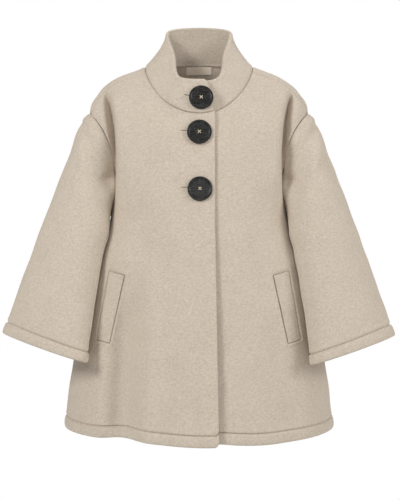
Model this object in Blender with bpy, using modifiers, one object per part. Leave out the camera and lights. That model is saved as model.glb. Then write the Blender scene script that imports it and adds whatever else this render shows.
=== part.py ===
"""A-line wool coat with a funnel collar, three large buttons and two slanted welt pockets.

The coat is hollow, as it hangs on a wearer. Every panel is a cloth wall lofted through sections.
Metres, +Z up. The coat faces -Y, and the origin is on the centre line at the height of the neck points.
"""

import math
from collections import namedtuple

import bmesh
import bpy
import numpy as np
from mathutils import Matrix, Vector
from mathutils.bvhtree import BVHTree

# Cloth
CLOTH = 0.0024
HEM_CLOTH = 0.0046
COLLAR_CLOTH = 0.0046
SEAM_GAP = 0.0003
ARMHOLE_GAP = 0.0008
COLLAR_GAP = 0.0005
LAID_GAP = 0.0006

# Turned and stitched hems
HEM_TURN = 0.023
CUFF_TURN = 0.020
HEM_GROOVE = 0.0010
HEM_PUFF = 0.0008

# Front closing: the wearer's right front lies on the left one
OVERLAP = 0.035
OVERLAP_RAMP = 0.045
TOP_LIFT = 0.0016
UNDER_SINK = 0.0026
HEM_LIFT = 0.003
EDGE_LIFT = 0.004
EDGE_LIFT_START = -0.25
EDGE_LIFT_RUN = 0.45

# Body sections from the neck seam to the hem. Each is a tilted oval ring.
BodyRing = namedtuple(
    "BodyRing", "name front_z side_z back_z half_width front_depth back_depth roundness"
)
BODY_RINGS = (
    BodyRing("neck_seam", -0.107, 0.000, 0.011, 0.113, 0.102, 0.070, 1.00),
    BodyRing("shoulder_slope", -0.115, -0.019, -0.012, 0.163, 0.1035, 0.076, 0.95),
    BodyRing("shoulder_top", -0.123, -0.036, -0.033, 0.192, 0.105, 0.086, 0.93),
    BodyRing("shoulder_round", -0.133, -0.056, -0.058, 0.211, 0.107, 0.096, 0.93),
    BodyRing("shoulder_tip", -0.150, -0.094, -0.104, 0.229, 0.110, 0.104, 0.95),
    BodyRing("armhole_middle", -0.220, -0.185, -0.192, 0.208, 0.122, 0.113, 0.82),
    BodyRing("underarm", -0.320, -0.300, -0.304, 0.184, 0.134, 0.117, 0.70),
    BodyRing("waist", -0.437, -0.420, -0.420, 0.222, 0.143, 0.120, 0.76),
    BodyRing("hip", -0.640, -0.620, -0.618, 0.263, 0.163, 0.138, 0.88),
    BodyRing("hem", -0.7755, -0.751, -0.746, 0.281, 0.178, 0.155, 1.00),
)
TIP_ROW = 4
UNDERARM_ROW = 6
HEM_ROW = len(BODY_RINGS) - 1
RING_DIP = 1.3

# Seams: the shoulder seam lies a little forward of the ridge, the side seam at the side
SHOULDER_SEAM = math.radians(79)
SIDE_SEAM = math.radians(90)
ARMHOLE_FRONT = math.radians(26.5)
ARMHOLE_BACK = math.radians(28)
ARMHOLE_SQUARE = 2.5

# Large folds: lines in the front view along which the cloth stands out, or lies in (depth below 0).
# Its line is bowed along X at its middle by bow. A fold grows over the first part of its line,
# and one that fades also dies away over the last part.
Fold = namedtuple("Fold", "name x_start z_start x_end z_end bow depth width fades")
FRONT_FOLDS = (
    Fold("right_armhole_trough", -0.192, -0.050, -0.190, -0.350, 0.017, -0.026, 0.013, True),
    Fold("left_armhole_trough", 0.192, -0.050, 0.190, -0.350, -0.017, -0.026, 0.013, True),
    Fold("right_skirt_trough", -0.145, -0.400, -0.160, -0.780, 0, -0.021, 0.034, False),
    Fold("right_skirt_ridge", -0.090, -0.430, -0.106, -0.780, 0, 0.008, 0.030, False),
    Fold("left_skirt_trough", 0.150, -0.480, 0.180, -0.780, 0, -0.006, 0.032, False),
)
BACK_FOLDS = (
    Fold("right_blade_trough", -0.186, -0.060, -0.176, -0.300, 0, -0.016, 0.017, True),
    Fold("left_blade_trough", 0.186, -0.060, 0.176, -0.300, 0, -0.016, 0.017, True),
    Fold("right_back_trough", -0.110, -0.380, -0.135, -0.760, 0, -0.014, 0.038, False),
    Fold("left_back_trough", 0.105, -0.430, 0.140, -0.760, 0, -0.015, 0.038, False),
)
FOLD_RAMP = 0.45
BACK_HEM_RISE = 0.4

# How far a front's hem rises above the hem ring, at places across the front
HemPoint = namedtuple("HemPoint", "x rise")
RIGHT_HEM = (
    HemPoint(-0.285, 0.0000),
    HemPoint(-0.212, 0.0030),
    HemPoint(-0.146, 0.0095),
    HemPoint(-0.101, 0.0055),
    HemPoint(-0.047, 0.0020),
    HemPoint(0.000, 0.0000),
    HemPoint(0.045, -0.0003),
)
LEFT_HEM = (
    HemPoint(-0.040, 0.0066),
    HemPoint(0.042, 0.0062),
    HemPoint(0.077, 0.0028),
    HemPoint(0.113, 0.0000),
    HemPoint(0.160, -0.0016),
    HemPoint(0.285, -0.0016),
)
HEM_RISE_START = -0.60
HEM_RISE_RUN = 0.15

# Sleeve sections from just outside the armhole to the cuff.
# out is the distance from the centre plane, and forward the distance in front of it.
SleeveRing = namedtuple(
    "SleeveRing", "name along out forward z half_width half_depth tilt turn"
)
SLEEVE_RINGS = (
    SleeveRing("cap", 0.08, 0.2215, 0.008, -0.2165, 0.1000, 0.064, 76, 8),
    SleeveRing("upper_arm", 0.25, 0.2277, 0.028, -0.266, 0.0945, 0.062, 60, 24),
    SleeveRing("elbow", 0.50, 0.2535, 0.054, -0.347, 0.0795, 0.054, 39, 24),
    SleeveRing("forearm", 0.75, 0.2858, 0.074, -0.464, 0.0870, 0.049, 26, 25),
    SleeveRing("cuff", 1.00, 0.3142, 0.0935, -0.5825, 0.1000, 0.044, 17.5, 24),
)
SLEEVE_LENGTH = 0.43
LEFT_SLEEVE_DROP = 0.0045
SLEEVE_SET = 0.03
SLEEVE_HEAD = 0.0075
UNDERARM_OUT = 0.004
BODY_CLEAR = 0.005
CLEAR_SHARPNESS = 90
CLEAR_ROUNDS = 12
WALL_TURN = 0.08
STEEPEST_MITRE = 0.45

# Under the arm, the front of the sleeve hangs forward and inward over the armhole seam
LIP_INWARD = 0.006
LIP_FORWARD = 0.008
LIP_TURN = math.radians(20)
LIP_TURN_WIDTH = math.radians(38)
LIP_ALONG = 0.05
LIP_ALONG_WIDTH = 0.14

# Collar: it rises from the neck seam to a rim through these points of one half
RimPoint = namedtuple("RimPoint", "name angle x y z")
RIM_POINTS = (
    RimPoint("front", 0, 0.000, -0.086, -0.036),
    RimPoint("front_corner", 40, 0.046, -0.074, -0.026),
    RimPoint("side", 90, 0.058, -0.012, 0.028),
    RimPoint("back_corner", 140, 0.0690, 0.036, 0.079),
    RimPoint("back", 180, 0.000, 0.053, 0.091),
)
COLLAR_SWELL = 0.010
COLLAR_CORNER = 0.013
COLLAR_LIFT = 0.0022
COLLAR_SINK = 0.0036
COLLAR_FRONT_HEIGHT = 0.073
COLLAR_LAP = math.radians(60)
COLLAR_RAMP = math.radians(22)

# Pocket welts: the middle of the top edge in the front view, then size and slant
WELT_TOP = (0.167, -0.4316)
WELT_LENGTH = 0.140
WELT_WIDTH = 0.031
WELT_CLOTH = 0.0026
WELT_GAP = 0.0010
WELT_LEAN = math.radians(11.2)
WELT_TAPER = 0.16
WELT_END_SLANT = math.radians(15)

# Buttons: a dished disc with four holes
BUTTON_RADIUS = 0.0250
BUTTON_THICK = 0.0050
BUTTON_RIM = 0.0042
BUTTON_DISH = 0.0012
BUTTON_BEVEL = 0.0014
BUTTON_HOLE = 0.0019
BUTTON_HOLE_REACH = 0.0040
BUTTON_STEPS = 28

# Places of the buttons: on the collar by the share of its height, and on the front by Z
ButtonPlace = namedtuple("ButtonPlace", "node on x height")
BUTTONS = (
    ButtonPlace("button_1", "collar", 0.0050, 0.43),
    ButtonPlace("button_2", "front", 0.0010, -0.146),
    ButtonPlace("button_3", "front", 0.0020, -0.2615),
)

# Neck label, sewn in at the back neck seam
LABEL_WIDTH = 0.056
LABEL_DROP = 0.019
LABEL_CLOTH = 0.0010

# How finely the solids are divided
FRONT_COLUMNS = 18
EDGE_CROWDING = 0.06
BACK_COLUMNS = 22
SHOULDER_STEPS = 5
ARMHOLE_STEPS = 10
SKIRT_STEPS = 7
SLEEVE_STEPS = 10
COLLAR_STEPS = 5

WOOL = ("wool", (0.60, 0.52, 0.42), 0.95)
HORN = ("horn", (0.02, 0.018, 0.016), 0.35)
LABEL = ("label", (0.55, 0.48, 0.40), 0.8)


def smooth_step(value):
    """0 below 0, 1 above 1, with a soft change between."""
    t = np.clip(value, 0.0, 1.0)
    return t * t * (3 - 2 * t)


def smooth_through(knots, values, at):
    """A cubic through values (one row for each knot) that never overshoots them."""
    knots = np.asarray(knots, float)
    values = np.asarray(values, float)
    at = np.clip(np.asarray(at, float), knots[0], knots[-1])
    span = np.diff(knots).reshape((-1,) + (1,) * (values.ndim - 1))
    rise = np.diff(values, axis=0) / span
    slope = np.empty_like(values)
    slope[0] = rise[0]
    slope[-1] = rise[-1]
    middle = (span[1:] * rise[:-1] + span[:-1] * rise[1:]) / (span[1:] + span[:-1])
    most = 3 * np.minimum(np.abs(rise[:-1]), np.abs(rise[1:]))
    limited = np.sign(middle) * np.minimum(np.abs(middle), most)
    slope[1:-1] = np.where(rise[:-1] * rise[1:] > 0, limited, 0.0)
    i = np.clip(np.searchsorted(knots, at, side="right") - 1, 0, len(knots) - 2)
    shape = at.shape + (1,) * (values.ndim - 1)
    h = (knots[i + 1] - knots[i]).reshape(shape)
    t = (at - knots[i]).reshape(shape) / h
    return (
        (2 * t**3 - 3 * t**2 + 1) * values[i]
        + (t**3 - 2 * t**2 + t) * h * slope[i]
        + (3 * t**2 - 2 * t**3) * values[i + 1]
        + (t**3 - t**2) * h * slope[i + 1]
    )


def unit(vectors):
    return vectors / np.linalg.norm(vectors, axis=-1, keepdims=True)


def outward(surface, p, q, step_p=1e-3, step_q=1e-3):
    """The surface's normal by differences; p runs round the coat and q down it."""
    along_p = surface(p + step_p, q) - surface(p - step_p, q)
    along_q = surface(p, q + step_q) - surface(p, q - step_q)
    return unit(np.cross(along_q, along_p))


def body_base(angle, row):
    """The body without folds. Angle 0 is the centre front, and it grows towards +X."""
    sizes = smooth_through(range(len(BODY_RINGS)), [r[1:] for r in BODY_RINGS], row)
    size = BodyRing("", *np.moveaxis(sizes, -1, 0))
    cos = np.cos(angle)
    end_z = np.where(cos >= 0, size.front_z, size.back_z)
    depth = np.where(cos >= 0, size.front_depth, -size.back_depth)
    x = size.half_width * np.sin(angle)
    y = -depth * np.abs(cos) ** size.roundness
    z = size.side_z + (end_z - size.side_z) * np.abs(cos) ** RING_DIP
    return np.stack([x, y, z], axis=-1)


def fold_shift(points, folds):
    """How far each point stands out for the folds that cross it in the front view."""
    shift = np.zeros(points.shape[:-1])
    for fold in folds:
        run = np.array([fold.x_end - fold.x_start, fold.z_end - fold.z_start])
        length = np.hypot(*run)
        rel = points[..., [0, 2]] - np.array([fold.x_start, fold.z_start])
        along = rel @ run / length**2
        across = (rel[..., 0] * run[1] - rel[..., 1] * run[0]) / length
        across = across + fold.bow * 4 * along * (1 - along)
        strength = smooth_step(along / FOLD_RAMP)
        if fold.fades:
            strength = strength * smooth_step((1 - along) / FOLD_RAMP)
        shift += fold.depth * strength * np.exp(-((across / fold.width) ** 2))
    return shift


def body(angle, row):
    """The body's outer surface with its folds."""
    angle, row = np.broadcast_arrays(np.asarray(angle, float), np.asarray(row, float))
    row = np.clip(row, 0, HEM_ROW)
    points = body_base(angle, row)
    cos = np.cos(angle)
    front = fold_shift(points, FRONT_FOLDS) * smooth_step(cos / 0.3)
    back = fold_shift(points, BACK_FOLDS) * smooth_step(-cos / 0.3)
    low = smooth_step((HEM_RISE_START - points[..., 2]) / HEM_RISE_RUN)
    rise = -BACK_HEM_RISE * np.minimum(back, 0) * low
    return points + np.stack([0 * front, back - front, rise], axis=-1)


def hem_rise(points, hem):
    """How far a front's points rise so that its hem follows the table."""
    rise = smooth_through([p.x for p in hem], [p.rise for p in hem], points[..., 0])
    return rise * smooth_step((HEM_RISE_START - points[..., 2]) / HEM_RISE_RUN)


def seam_angle(row):
    """Where the shoulder seam, and below the armhole the side seam, lies round the body."""
    down = (np.asarray(row, float) - TIP_ROW) / (UNDERARM_ROW - TIP_ROW)
    return SHOULDER_SEAM + (SIDE_SEAM - SHOULDER_SEAM) * np.clip(down, 0, 1)


def armhole_share(down):
    """How far open the armhole is, from 0 to 1, between -1 at the shoulder tip and 1 under the arm.
    Its lower half is squarer than its upper half."""
    power = np.where(down > 0, ARMHOLE_SQUARE, 2.0)
    return np.clip(1 - np.abs(down) ** power, 0, 1) ** (1 / power)


def armhole_reach(row):
    """How much of the armhole is open at a row."""
    middle = (TIP_ROW + UNDERARM_ROW) / 2
    half = (UNDERARM_ROW - TIP_ROW) / 2
    return armhole_share((np.asarray(row, float) - middle) / half)


def hem_profile(above_hem, turn):
    """How far the outer face stands out near a stitched hem, and the wall there."""
    inside = np.clip(above_hem / turn, 0, 1)
    puff = HEM_PUFF * np.sin(np.pi * inside) ** 0.5
    groove = HEM_GROOVE * np.exp(-(((above_hem - turn) / 0.0025) ** 2))
    wall = np.where(above_hem < turn - 0.001, HEM_CLOTH, CLOTH)
    return np.where(above_hem < turn, puff, 0.0) - groove, wall


def hem_steps(turn):
    """Heights above a hem at which it has a row of points."""
    return (turn + 0.007, turn, turn - 0.005, turn * 0.4, 0.0)


def body_rows(turned):
    """Rows of the body from the neck seam to the hem. Along the armhole they are even, or
    turned, which spaces them evenly round the armhole's own curve."""
    shoulder = np.linspace(0, TIP_ROW, SHOULDER_STEPS + 1)[:-1]
    even = np.linspace(0, 1, ARMHOLE_STEPS + 1)
    down = (1 - np.cos(np.pi * even)) / 2 if turned else even
    last = HEM_ROW - hem_steps(HEM_TURN)[0] / hem_length()
    skirt = np.linspace(UNDERARM_ROW, last, SKIRT_STEPS + 1)[1:-1]
    hem = [HEM_ROW - h / hem_length() for h in hem_steps(HEM_TURN)]
    armhole_rows = TIP_ROW + (UNDERARM_ROW - TIP_ROW) * down
    return np.concatenate([shoulder, armhole_rows, skirt, hem])


def blend_rows(share):
    """Rows of a panel's points: even where share is 0, and turned at the armhole, where it is 1."""
    even = body_rows(False)[:, None]
    turned = body_rows(True)[:, None]
    return even + (turned - even) * share


def hem_length():
    """The height of the body's last section, hip to hem."""
    return BODY_RINGS[-2].side_z - BODY_RINGS[-1].side_z


def panel_walls(angle, row, offset, hem, armhole_edges):
    """Outer and inner points of a body panel, which stands off the body by offset.
    Hem is the table of a front's hem. Armhole edges gives the columns that end at an
    armhole, each with its side and half."""
    stand, wall = hem_profile((HEM_ROW - row) * hem_length(), HEM_TURN)
    normal = outward(body, angle, row)
    surface = body(angle, row)
    outer = surface + normal * (offset(surface) + stand)[..., None]
    if hem:
        outer[..., 2] += hem_rise(surface, hem)
    depth = normal * wall[..., None]
    rows = body_rows(True)
    at_armhole = (rows >= TIP_ROW) & (rows <= UNDERARM_ROW)
    down = (rows[at_armhole] - TIP_ROW) / (UNDERARM_ROW - TIP_ROW)
    turn = np.arccos(np.clip(2 * down - 1, -1, 1))
    for column, side, half in armhole_edges:
        depth[at_armhole, column] = CLOTH * mitre(side, half * turn)
    return outer, outer - depth


def top_offset(points):
    """The upper front stands out where it covers the other, most at its lower edge."""
    cover = smooth_step((points[..., 0] + OVERLAP + OVERLAP_RAMP) / OVERLAP_RAMP)
    edge = smooth_step(points[..., 0] / OVERLAP + 0.3)
    low = smooth_step((EDGE_LIFT_START - points[..., 2]) / EDGE_LIFT_RUN)
    return TOP_LIFT * cover + (HEM_LIFT * cover + EDGE_LIFT * edge) * low


def under_offset(points):
    """The lower front lies in where it is covered."""
    return -UNDER_SINK * smooth_step(
        (OVERLAP + OVERLAP_RAMP - points[..., 0]) / OVERLAP_RAMP
    )


def ring_size(field, row):
    """One of the body's sizes at a row."""
    column = [getattr(ring, field) for ring in BODY_RINGS]
    return smooth_through(range(len(BODY_RINGS)), column, row)


def no_offset(points):
    return np.zeros(points.shape[:-1])


def seam_inset(row):
    """Half the seam gap as an angle at a row."""
    return SEAM_GAP / 2 / ring_size("front_depth", row)


def front_grid(side):
    """Angles and rows of a front panel's points, from its front edge to its side edge."""
    even = np.linspace(0, 1, FRONT_COLUMNS + 1)
    spread = even - EDGE_CROWDING * np.sin(2 * np.pi * even)
    row = blend_rows(spread**2)
    edge = -np.arcsin(OVERLAP / ring_size("half_width", row[:, :1]))
    last = row[:, -1:]
    seam = seam_angle(last) - seam_inset(last)
    cut = ARMHOLE_FRONT * armhole_reach(last) * spread**2
    return side * (edge + (seam - edge) * spread - cut), row


def back_grid():
    """Angles and rows of the back panel's points, from one side seam round to the other."""
    spread = np.linspace(-1, 1, BACK_COLUMNS + 1)
    row = blend_rows(spread**2)
    last = row[:, -1:]
    seam = seam_angle(last) + seam_inset(last)
    cut = ARMHOLE_BACK * armhole_reach(last) * np.abs(spread)
    return np.pi + spread * (np.pi - seam - cut), row


def armhole(side, turn):
    """Points of the armhole seam and the body's normals there. Turn 0 is the underarm,
    pi the shoulder tip, and the front lies between."""
    down = (1 + np.cos(turn)) / 2
    row = TIP_ROW + (UNDERARM_ROW - TIP_ROW) * down
    reach = np.where(np.sin(turn) > 0, ARMHOLE_FRONT, -ARMHOLE_BACK)
    angle = side * (seam_angle(row) - reach * armhole_share(np.cos(turn)))
    return body(angle, row), outward(body, angle, row)


def sleeve_ring(side, turn, ring):
    """The oval of a sleeve section."""
    tilt = math.radians(ring.tilt)
    twist = math.radians(ring.turn)
    inward = np.array([-math.cos(tilt) * side, 0, -math.sin(tilt)])
    back = np.array([0.0, 1.0, 0.0])
    wide = inward * math.cos(twist) - back * math.sin(twist)
    deep = inward * math.sin(twist) + back * math.cos(twist)
    drop = LEFT_SLEEVE_DROP * ring.along if side > 0 else 0.0
    centre = np.array([ring.out * side, -ring.forward, ring.z - drop])
    across = ring.half_width * np.cos(turn)[:, None] * wide
    return centre + across - ring.half_depth * np.sin(turn)[:, None] * deep


def clear_of_body(points):
    """Points moved out where they would lie in the body, as a sleeve lies against it."""
    row = np.interp(-points[..., 2], [-r.side_z for r in BODY_RINGS], range(len(BODY_RINGS)))
    depth = np.where(
        points[..., 1] < 0, ring_size("front_depth", row), ring_size("back_depth", row)
    )
    wide = (points[..., 0] / (ring_size("half_width", row) + BODY_CLEAR)) ** 2
    power = 2 / ring_size("roundness", row)
    deep = np.abs(points[..., 1] / (depth + BODY_CLEAR)) ** power
    to_ring = np.ones_like(wide)
    for _ in range(CLEAR_ROUNDS):
        miss = wide * to_ring**2 + deep * to_ring**power - 1
        slope = 2 * wide * to_ring + power * deep * to_ring ** (power - 1)
        to_ring = to_ring - miss / slope
    out = (1 + to_ring**CLEAR_SHARPNESS) ** (1 / CLEAR_SHARPNESS)
    return points * np.stack([out, out, np.ones_like(out)], axis=-1)


def lip_share(turn, along):
    """How much of the lip under the arm there is at places of a sleeve."""
    from_lip = (turn - LIP_TURN + np.pi) % (2 * np.pi) - np.pi
    round_it = np.exp(-((from_lip / LIP_TURN_WIDTH) ** 2))
    below = np.maximum(along - LIP_ALONG, 0)
    down_it = smooth_step(along / LIP_ALONG) * np.exp(-((below / LIP_ALONG_WIDTH) ** 2))
    return (round_it * down_it[:, None])[..., None]


def sleeve(side, turn, along):
    """The sleeve's outer surface, a row of points round it for each place along it.
    Under the arm it runs straight from the armhole to the upper arm."""
    seam, seam_normal = armhole(side, turn)
    cap, upper_arm, *lower = [sleeve_ring(side, turn, r) for r in SLEEVE_RINGS]
    low = ((1 + np.cos(turn)) / 2)[:, None] ** 2
    knots = [0.0, SLEEVE_SET] + [r.along for r in SLEEVE_RINGS]
    high = ((1 - np.cos(turn)) / 2)[:, None] ** 2
    out = seam_normal * UNDERARM_OUT * low
    straight = seam + (upper_arm - seam) * knots[2] / knots[3] + out
    cap = cap + (straight - cap) * low
    set_in = seam + (cap - seam) * knots[1] / knots[2] + out + seam_normal * SLEEVE_HEAD * high
    rings = np.stack([seam, set_in, cap, upper_arm, *lower])
    points = smooth_through(knots, rings, along)
    points = points + lip_share(turn, along) * np.array([-LIP_INWARD * side, -LIP_FORWARD, 0])
    share = smooth_step(along / knots[2])[:, None, None]
    return points + (clear_of_body(points) - points) * share


def sleeve_outward(side, turn, along):
    surface = lambda p, q: sleeve(side, p, q)
    return outward(surface, turn, along, 1e-2, 1e-2) * side


def mitre(side, turn):
    """The direction through the cloth at the armhole seam, halfway between the body's and
    the sleeve's, and longer than 1 so that both walls keep their thickness."""
    body_normal = armhole(side, turn)[1]
    sleeve_normal = sleeve_outward(side, turn, np.array([SLEEVE_SET]))[0]
    middle = unit(body_normal + sleeve_normal)
    cos = np.sum(middle * body_normal, axis=-1, keepdims=True)
    return middle / np.maximum(cos, STEEPEST_MITRE)


def sleeve_walls(side):
    """Outer and inner points of a sleeve, open by a seam gap along the underarm."""
    inset = SEAM_GAP / 2 / SLEEVE_RINGS[-1].half_depth
    turn = np.linspace(0, 2 * np.pi, 2 * ARMHOLE_STEPS + 1)
    turn[0] += inset
    turn[-1] -= inset
    hem = [1 - h / SLEEVE_LENGTH for h in hem_steps(CUFF_TURN)]
    arm = np.linspace(SLEEVE_RINGS[0].along, hem[0], SLEEVE_STEPS)
    along = np.concatenate([[0.0, SLEEVE_SET], arm[:-1], hem])
    seam_depth = mitre(side, turn)
    ahead = armhole(side, turn + 1e-3)[0] - armhole(side, turn - 1e-3)[0]
    apart = unit(np.cross(ahead, seam_depth)) * side
    surface = sleeve(side, turn, along)
    surface[0] += apart * ARMHOLE_GAP
    own = sleeve_outward(side, turn, along)
    share = smooth_step(along / WALL_TURN)[:, None, None]
    stand, wall = hem_profile((1 - along) * SLEEVE_LENGTH, CUFF_TURN)
    outer = surface + own * stand[:, None, None]
    depth = seam_depth * (1 - share) + own * share
    return outer, outer - depth * wall[:, None, None]


def collar_rim(angle):
    """The rim's points at angles round the neck."""
    mirrored = [RimPoint(p.name, -p.angle, -p.x, p.y, p.z) for p in RIM_POINTS[:0:-1]]
    beyond = [RimPoint(p.name, p.angle + 360, *p[2:]) for p in mirrored[1:2]]
    before = [RimPoint(p.name, p.angle - 360, *p[2:]) for p in RIM_POINTS[-2:-1]]
    table = before + mirrored + list(RIM_POINTS) + beyond
    knots = np.radians([p.angle for p in table])
    turned = (np.asarray(angle) + np.pi) % (2 * np.pi) - np.pi
    return smooth_through(knots, [p[2:] for p in table], turned)


def collar(angle, height):
    """The collar between the neck seam (height 0) and the rim (height 1)."""
    angle, height = np.broadcast_arrays(angle, height)
    base = body(angle, np.zeros_like(angle))
    straight = base + (collar_rim(angle) - base) * height[..., None]
    swell = COLLAR_SWELL * np.sin(angle) ** 2 * 4 * height * (1 - height)
    straight[..., 0] += swell * np.sign(np.sin(angle))
    return straight


def collar_walls():
    """Outer and inner points of the collar, which runs once round and laps at the front.
    It has the same columns as the panels it is sewn to."""
    top = front_grid(-1)[0][0]
    under = front_grid(1)[0][0, ::-1]
    round_back = back_grid()[0][0, ::-1]
    angles = np.concatenate([top[:-1], round_back - 2 * np.pi, under[1:] - 2 * np.pi])
    heights = np.linspace(0, 1, COLLAR_STEPS + 1)
    angle, height = np.meshgrid(angles, heights)
    from_end = (angles[0] - angle) * BODY_RINGS[0].half_width
    short = np.clip(COLLAR_CORNER - from_end, 0, COLLAR_CORNER)
    drop = COLLAR_CORNER - np.sqrt(COLLAR_CORNER**2 - short**2)
    height = height * (1 - drop / COLLAR_FRONT_HEIGHT)
    surface = collar(angle, height)
    up = unit(collar(angle, height + 1e-3) - collar(angle, height - 1e-3))
    across = collar(angle + 1e-3, height) - collar(angle - 1e-3, height)
    neck = outward(body, angle, np.zeros_like(angle))
    share = smooth_step(height / 0.3)[..., None]
    normal = unit(neck * (1 - share) + unit(np.cross(across, up)) * share)
    over = smooth_step((angle - angles[0] + COLLAR_LAP) / COLLAR_RAMP)
    under = smooth_step((angles[-1] + COLLAR_LAP - angle) / COLLAR_RAMP)
    stand = COLLAR_LIFT * over - COLLAR_SINK * under
    surface = surface + normal * stand[..., None] + up * COLLAR_GAP
    return surface, surface - normal * COLLAR_CLOTH


def find_on_body(x, z):
    """Angle and row of the front's point at x, z in the front view."""
    angle = np.arcsin(np.clip(np.asarray(x) / 0.24, -0.95, 0.95))
    row = np.full_like(angle, 6.0)
    step = 1e-4
    for _ in range(40):
        here = body(angle, row)
        by_angle = (body(angle + step, row) - here) / step
        by_row = (body(angle, row + step) - here) / step
        miss_x = x - here[..., 0]
        miss_z = z - here[..., 2]
        det = by_angle[..., 0] * by_row[..., 2] - by_row[..., 0] * by_angle[..., 2]
        angle = angle + 0.7 * (miss_x * by_row[..., 2] - miss_z * by_row[..., 0]) / det
        row = row + 0.7 * (miss_z * by_angle[..., 0] - miss_x * by_angle[..., 2]) / det
        angle = np.clip(angle, -1.4, 1.4)
        row = np.clip(row, 0.02, HEM_ROW)
    return angle, row


def welt_walls(side, panel):
    """A pocket welt, laid on the faces of its front panel."""
    across, down = np.meshgrid(np.linspace(-0.5, 0.5, 4), np.linspace(0, 1, 11))
    across = across * (1 - WELT_TAPER * down)
    x = WELT_TOP[0] - across * WELT_WIDTH + down * WELT_LENGTH * math.sin(WELT_LEAN)
    z = WELT_TOP[1] - down * WELT_LENGTH * math.cos(WELT_LEAN)
    z = z - across * WELT_WIDTH * math.tan(WELT_END_SLANT)
    normal = outward(body, *find_on_body(side * x, z))
    faces = BVHTree.FromObject(panel, bpy.context.evaluated_depsgraph_get())
    inner = np.empty(x.shape + (3,))
    for k in np.ndindex(x.shape):
        inner[k] = faces.ray_cast((side * x[k], -1.0, z[k]), (0, 1, 0))[0]
    inner = inner + normal * WELT_GAP
    return inner + normal * WELT_CLOTH, inner


def label_walls():
    """The label, laid on the back's inner face under the neck seam."""
    x, row = np.meshgrid(
        np.linspace(0.5, -0.5, 7) * LABEL_WIDTH,
        np.linspace(0.08, 0.08 + LABEL_DROP / 0.026, 5),
    )
    angle = np.pi - np.arcsin(x / ring_size("half_width", row))
    normal = outward(body, angle, row)
    outer = body(angle, row) - normal * (CLOTH + LAID_GAP)
    return outer, outer - normal * LABEL_CLOTH


def material(name, colour, roughness):
    made = bpy.data.materials.get(name)
    if made is None:
        made = bpy.data.materials.new(name)
        made.use_nodes = True
        shader = made.node_tree.nodes["Principled BSDF"]
        shader.inputs["Base Color"].default_value = (*colour, 1.0)
        shader.inputs["Roughness"].default_value = roughness
        shader.inputs["Metallic"].default_value = 0.0
    return made


def add_object(name, mesh, finish, collection):
    mesh.materials.append(material(*finish))
    mesh.shade_smooth()
    mesh.set_sharp_from_angle(angle=math.radians(50))
    made = bpy.data.objects.new(name, mesh)
    collection.objects.link(made)
    return made


def cloth_wall(name, walls, finish, collection):
    """A closed cloth wall: a grid on the outer points, extruded to the inner points."""
    outer, inner = walls
    rows, columns = outer.shape[:2]
    bm = bmesh.new()
    bmesh.ops.create_grid(bm, x_segments=columns - 1, y_segments=rows - 1, size=0.5)
    for vert in bm.verts:
        column = round((vert.co.x + 0.5) * (columns - 1))
        row = round((vert.co.y + 0.5) * (rows - 1))
        vert.co = (column, row, 0)
    made = bmesh.ops.extrude_face_region(bm, geom=bm.faces[:], use_keep_orig=True)
    inside = {v for v in made["geom"] if isinstance(v, bmesh.types.BMVert)}
    for vert in bm.verts:
        column, row = round(vert.co.x), round(vert.co.y)
        vert.co = (inner if vert in inside else outer)[row, column]
    bmesh.ops.recalc_face_normals(bm, faces=bm.faces[:])
    if bm.calc_volume(signed=True) < 0:
        bmesh.ops.reverse_faces(bm, faces=bm.faces[:])
    mesh = bpy.data.meshes.new(name)
    bm.to_mesh(mesh)
    bm.free()
    return add_object(name, mesh, finish, collection)


def button(name, point, normal, parts, cutters):
    """A turned disc with a raised rim, and four thread holes cut through it."""
    inner = BUTTON_RADIUS - BUTTON_RIM
    profile = (
        (0.0, BUTTON_THICK - BUTTON_DISH),
        (inner - BUTTON_BEVEL, BUTTON_THICK - BUTTON_DISH),
        (inner + BUTTON_BEVEL, BUTTON_THICK),
        (BUTTON_RADIUS - BUTTON_BEVEL, BUTTON_THICK),
        (BUTTON_RADIUS, BUTTON_THICK - BUTTON_BEVEL),
        (BUTTON_RADIUS, BUTTON_BEVEL),
        (BUTTON_RADIUS - BUTTON_BEVEL, 0.0),
        (0.0, 0.0),
    )
    bm = bmesh.new()
    verts = [bm.verts.new((x, 0, z)) for x, z in profile]
    for a, b in zip(verts[:-1], verts[1:]):
        bm.edges.new((a, b))
    mesh = bpy.data.meshes.new(name)
    bm.to_mesh(mesh)
    bm.free()
    made = add_object(name, mesh, HORN, parts)
    screw = made.modifiers.new("turn", "SCREW")
    screw.steps = BUTTON_STEPS
    screw.render_steps = BUTTON_STEPS
    screw.use_merge_vertices = True
    screw.merge_threshold = 1e-5
    place = Vector(point) + Vector(normal) * LAID_GAP
    made.matrix_world = Matrix.Translation(place) @ facing(normal)
    bpy.context.view_layer.update()
    for k in range(4):
        turn = math.radians(45 + 90 * k)
        bm = bmesh.new()
        bmesh.ops.create_cone(
            bm,
            cap_ends=True,
            segments=8,
            radius1=BUTTON_HOLE,
            radius2=BUTTON_HOLE,
            depth=4 * BUTTON_THICK,
        )
        drill = bpy.data.meshes.new(f"{name}_hole_{k + 1}")
        bm.to_mesh(drill)
        bm.free()
        cutter = bpy.data.objects.new(drill.name, drill)
        cutters.objects.link(cutter)
        reach = Vector((math.cos(turn), math.sin(turn), 0)) * BUTTON_HOLE_REACH
        cutter.matrix_world = made.matrix_world @ Matrix.Translation(reach)
        cutter.hide_render = True
        cutter.display_type = "WIRE"
        cut = made.modifiers.new(drill.name, "BOOLEAN")
        cut.operation = "DIFFERENCE"
        cut.object = cutter
    return made


def facing(normal):
    """A rotation that takes +Z to the normal."""
    return Vector(normal).to_track_quat("Z", "Y").to_matrix().to_4x4()


def top_point(x, z):
    """A point on the upper front at a button's place, and the normal there."""
    angle, row = find_on_body(np.array([x]), np.array([z]))
    normal = outward(body, angle, row)
    point = body(angle, row)
    return (point + normal * top_offset(point)[..., None])[0], normal[0]


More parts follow.
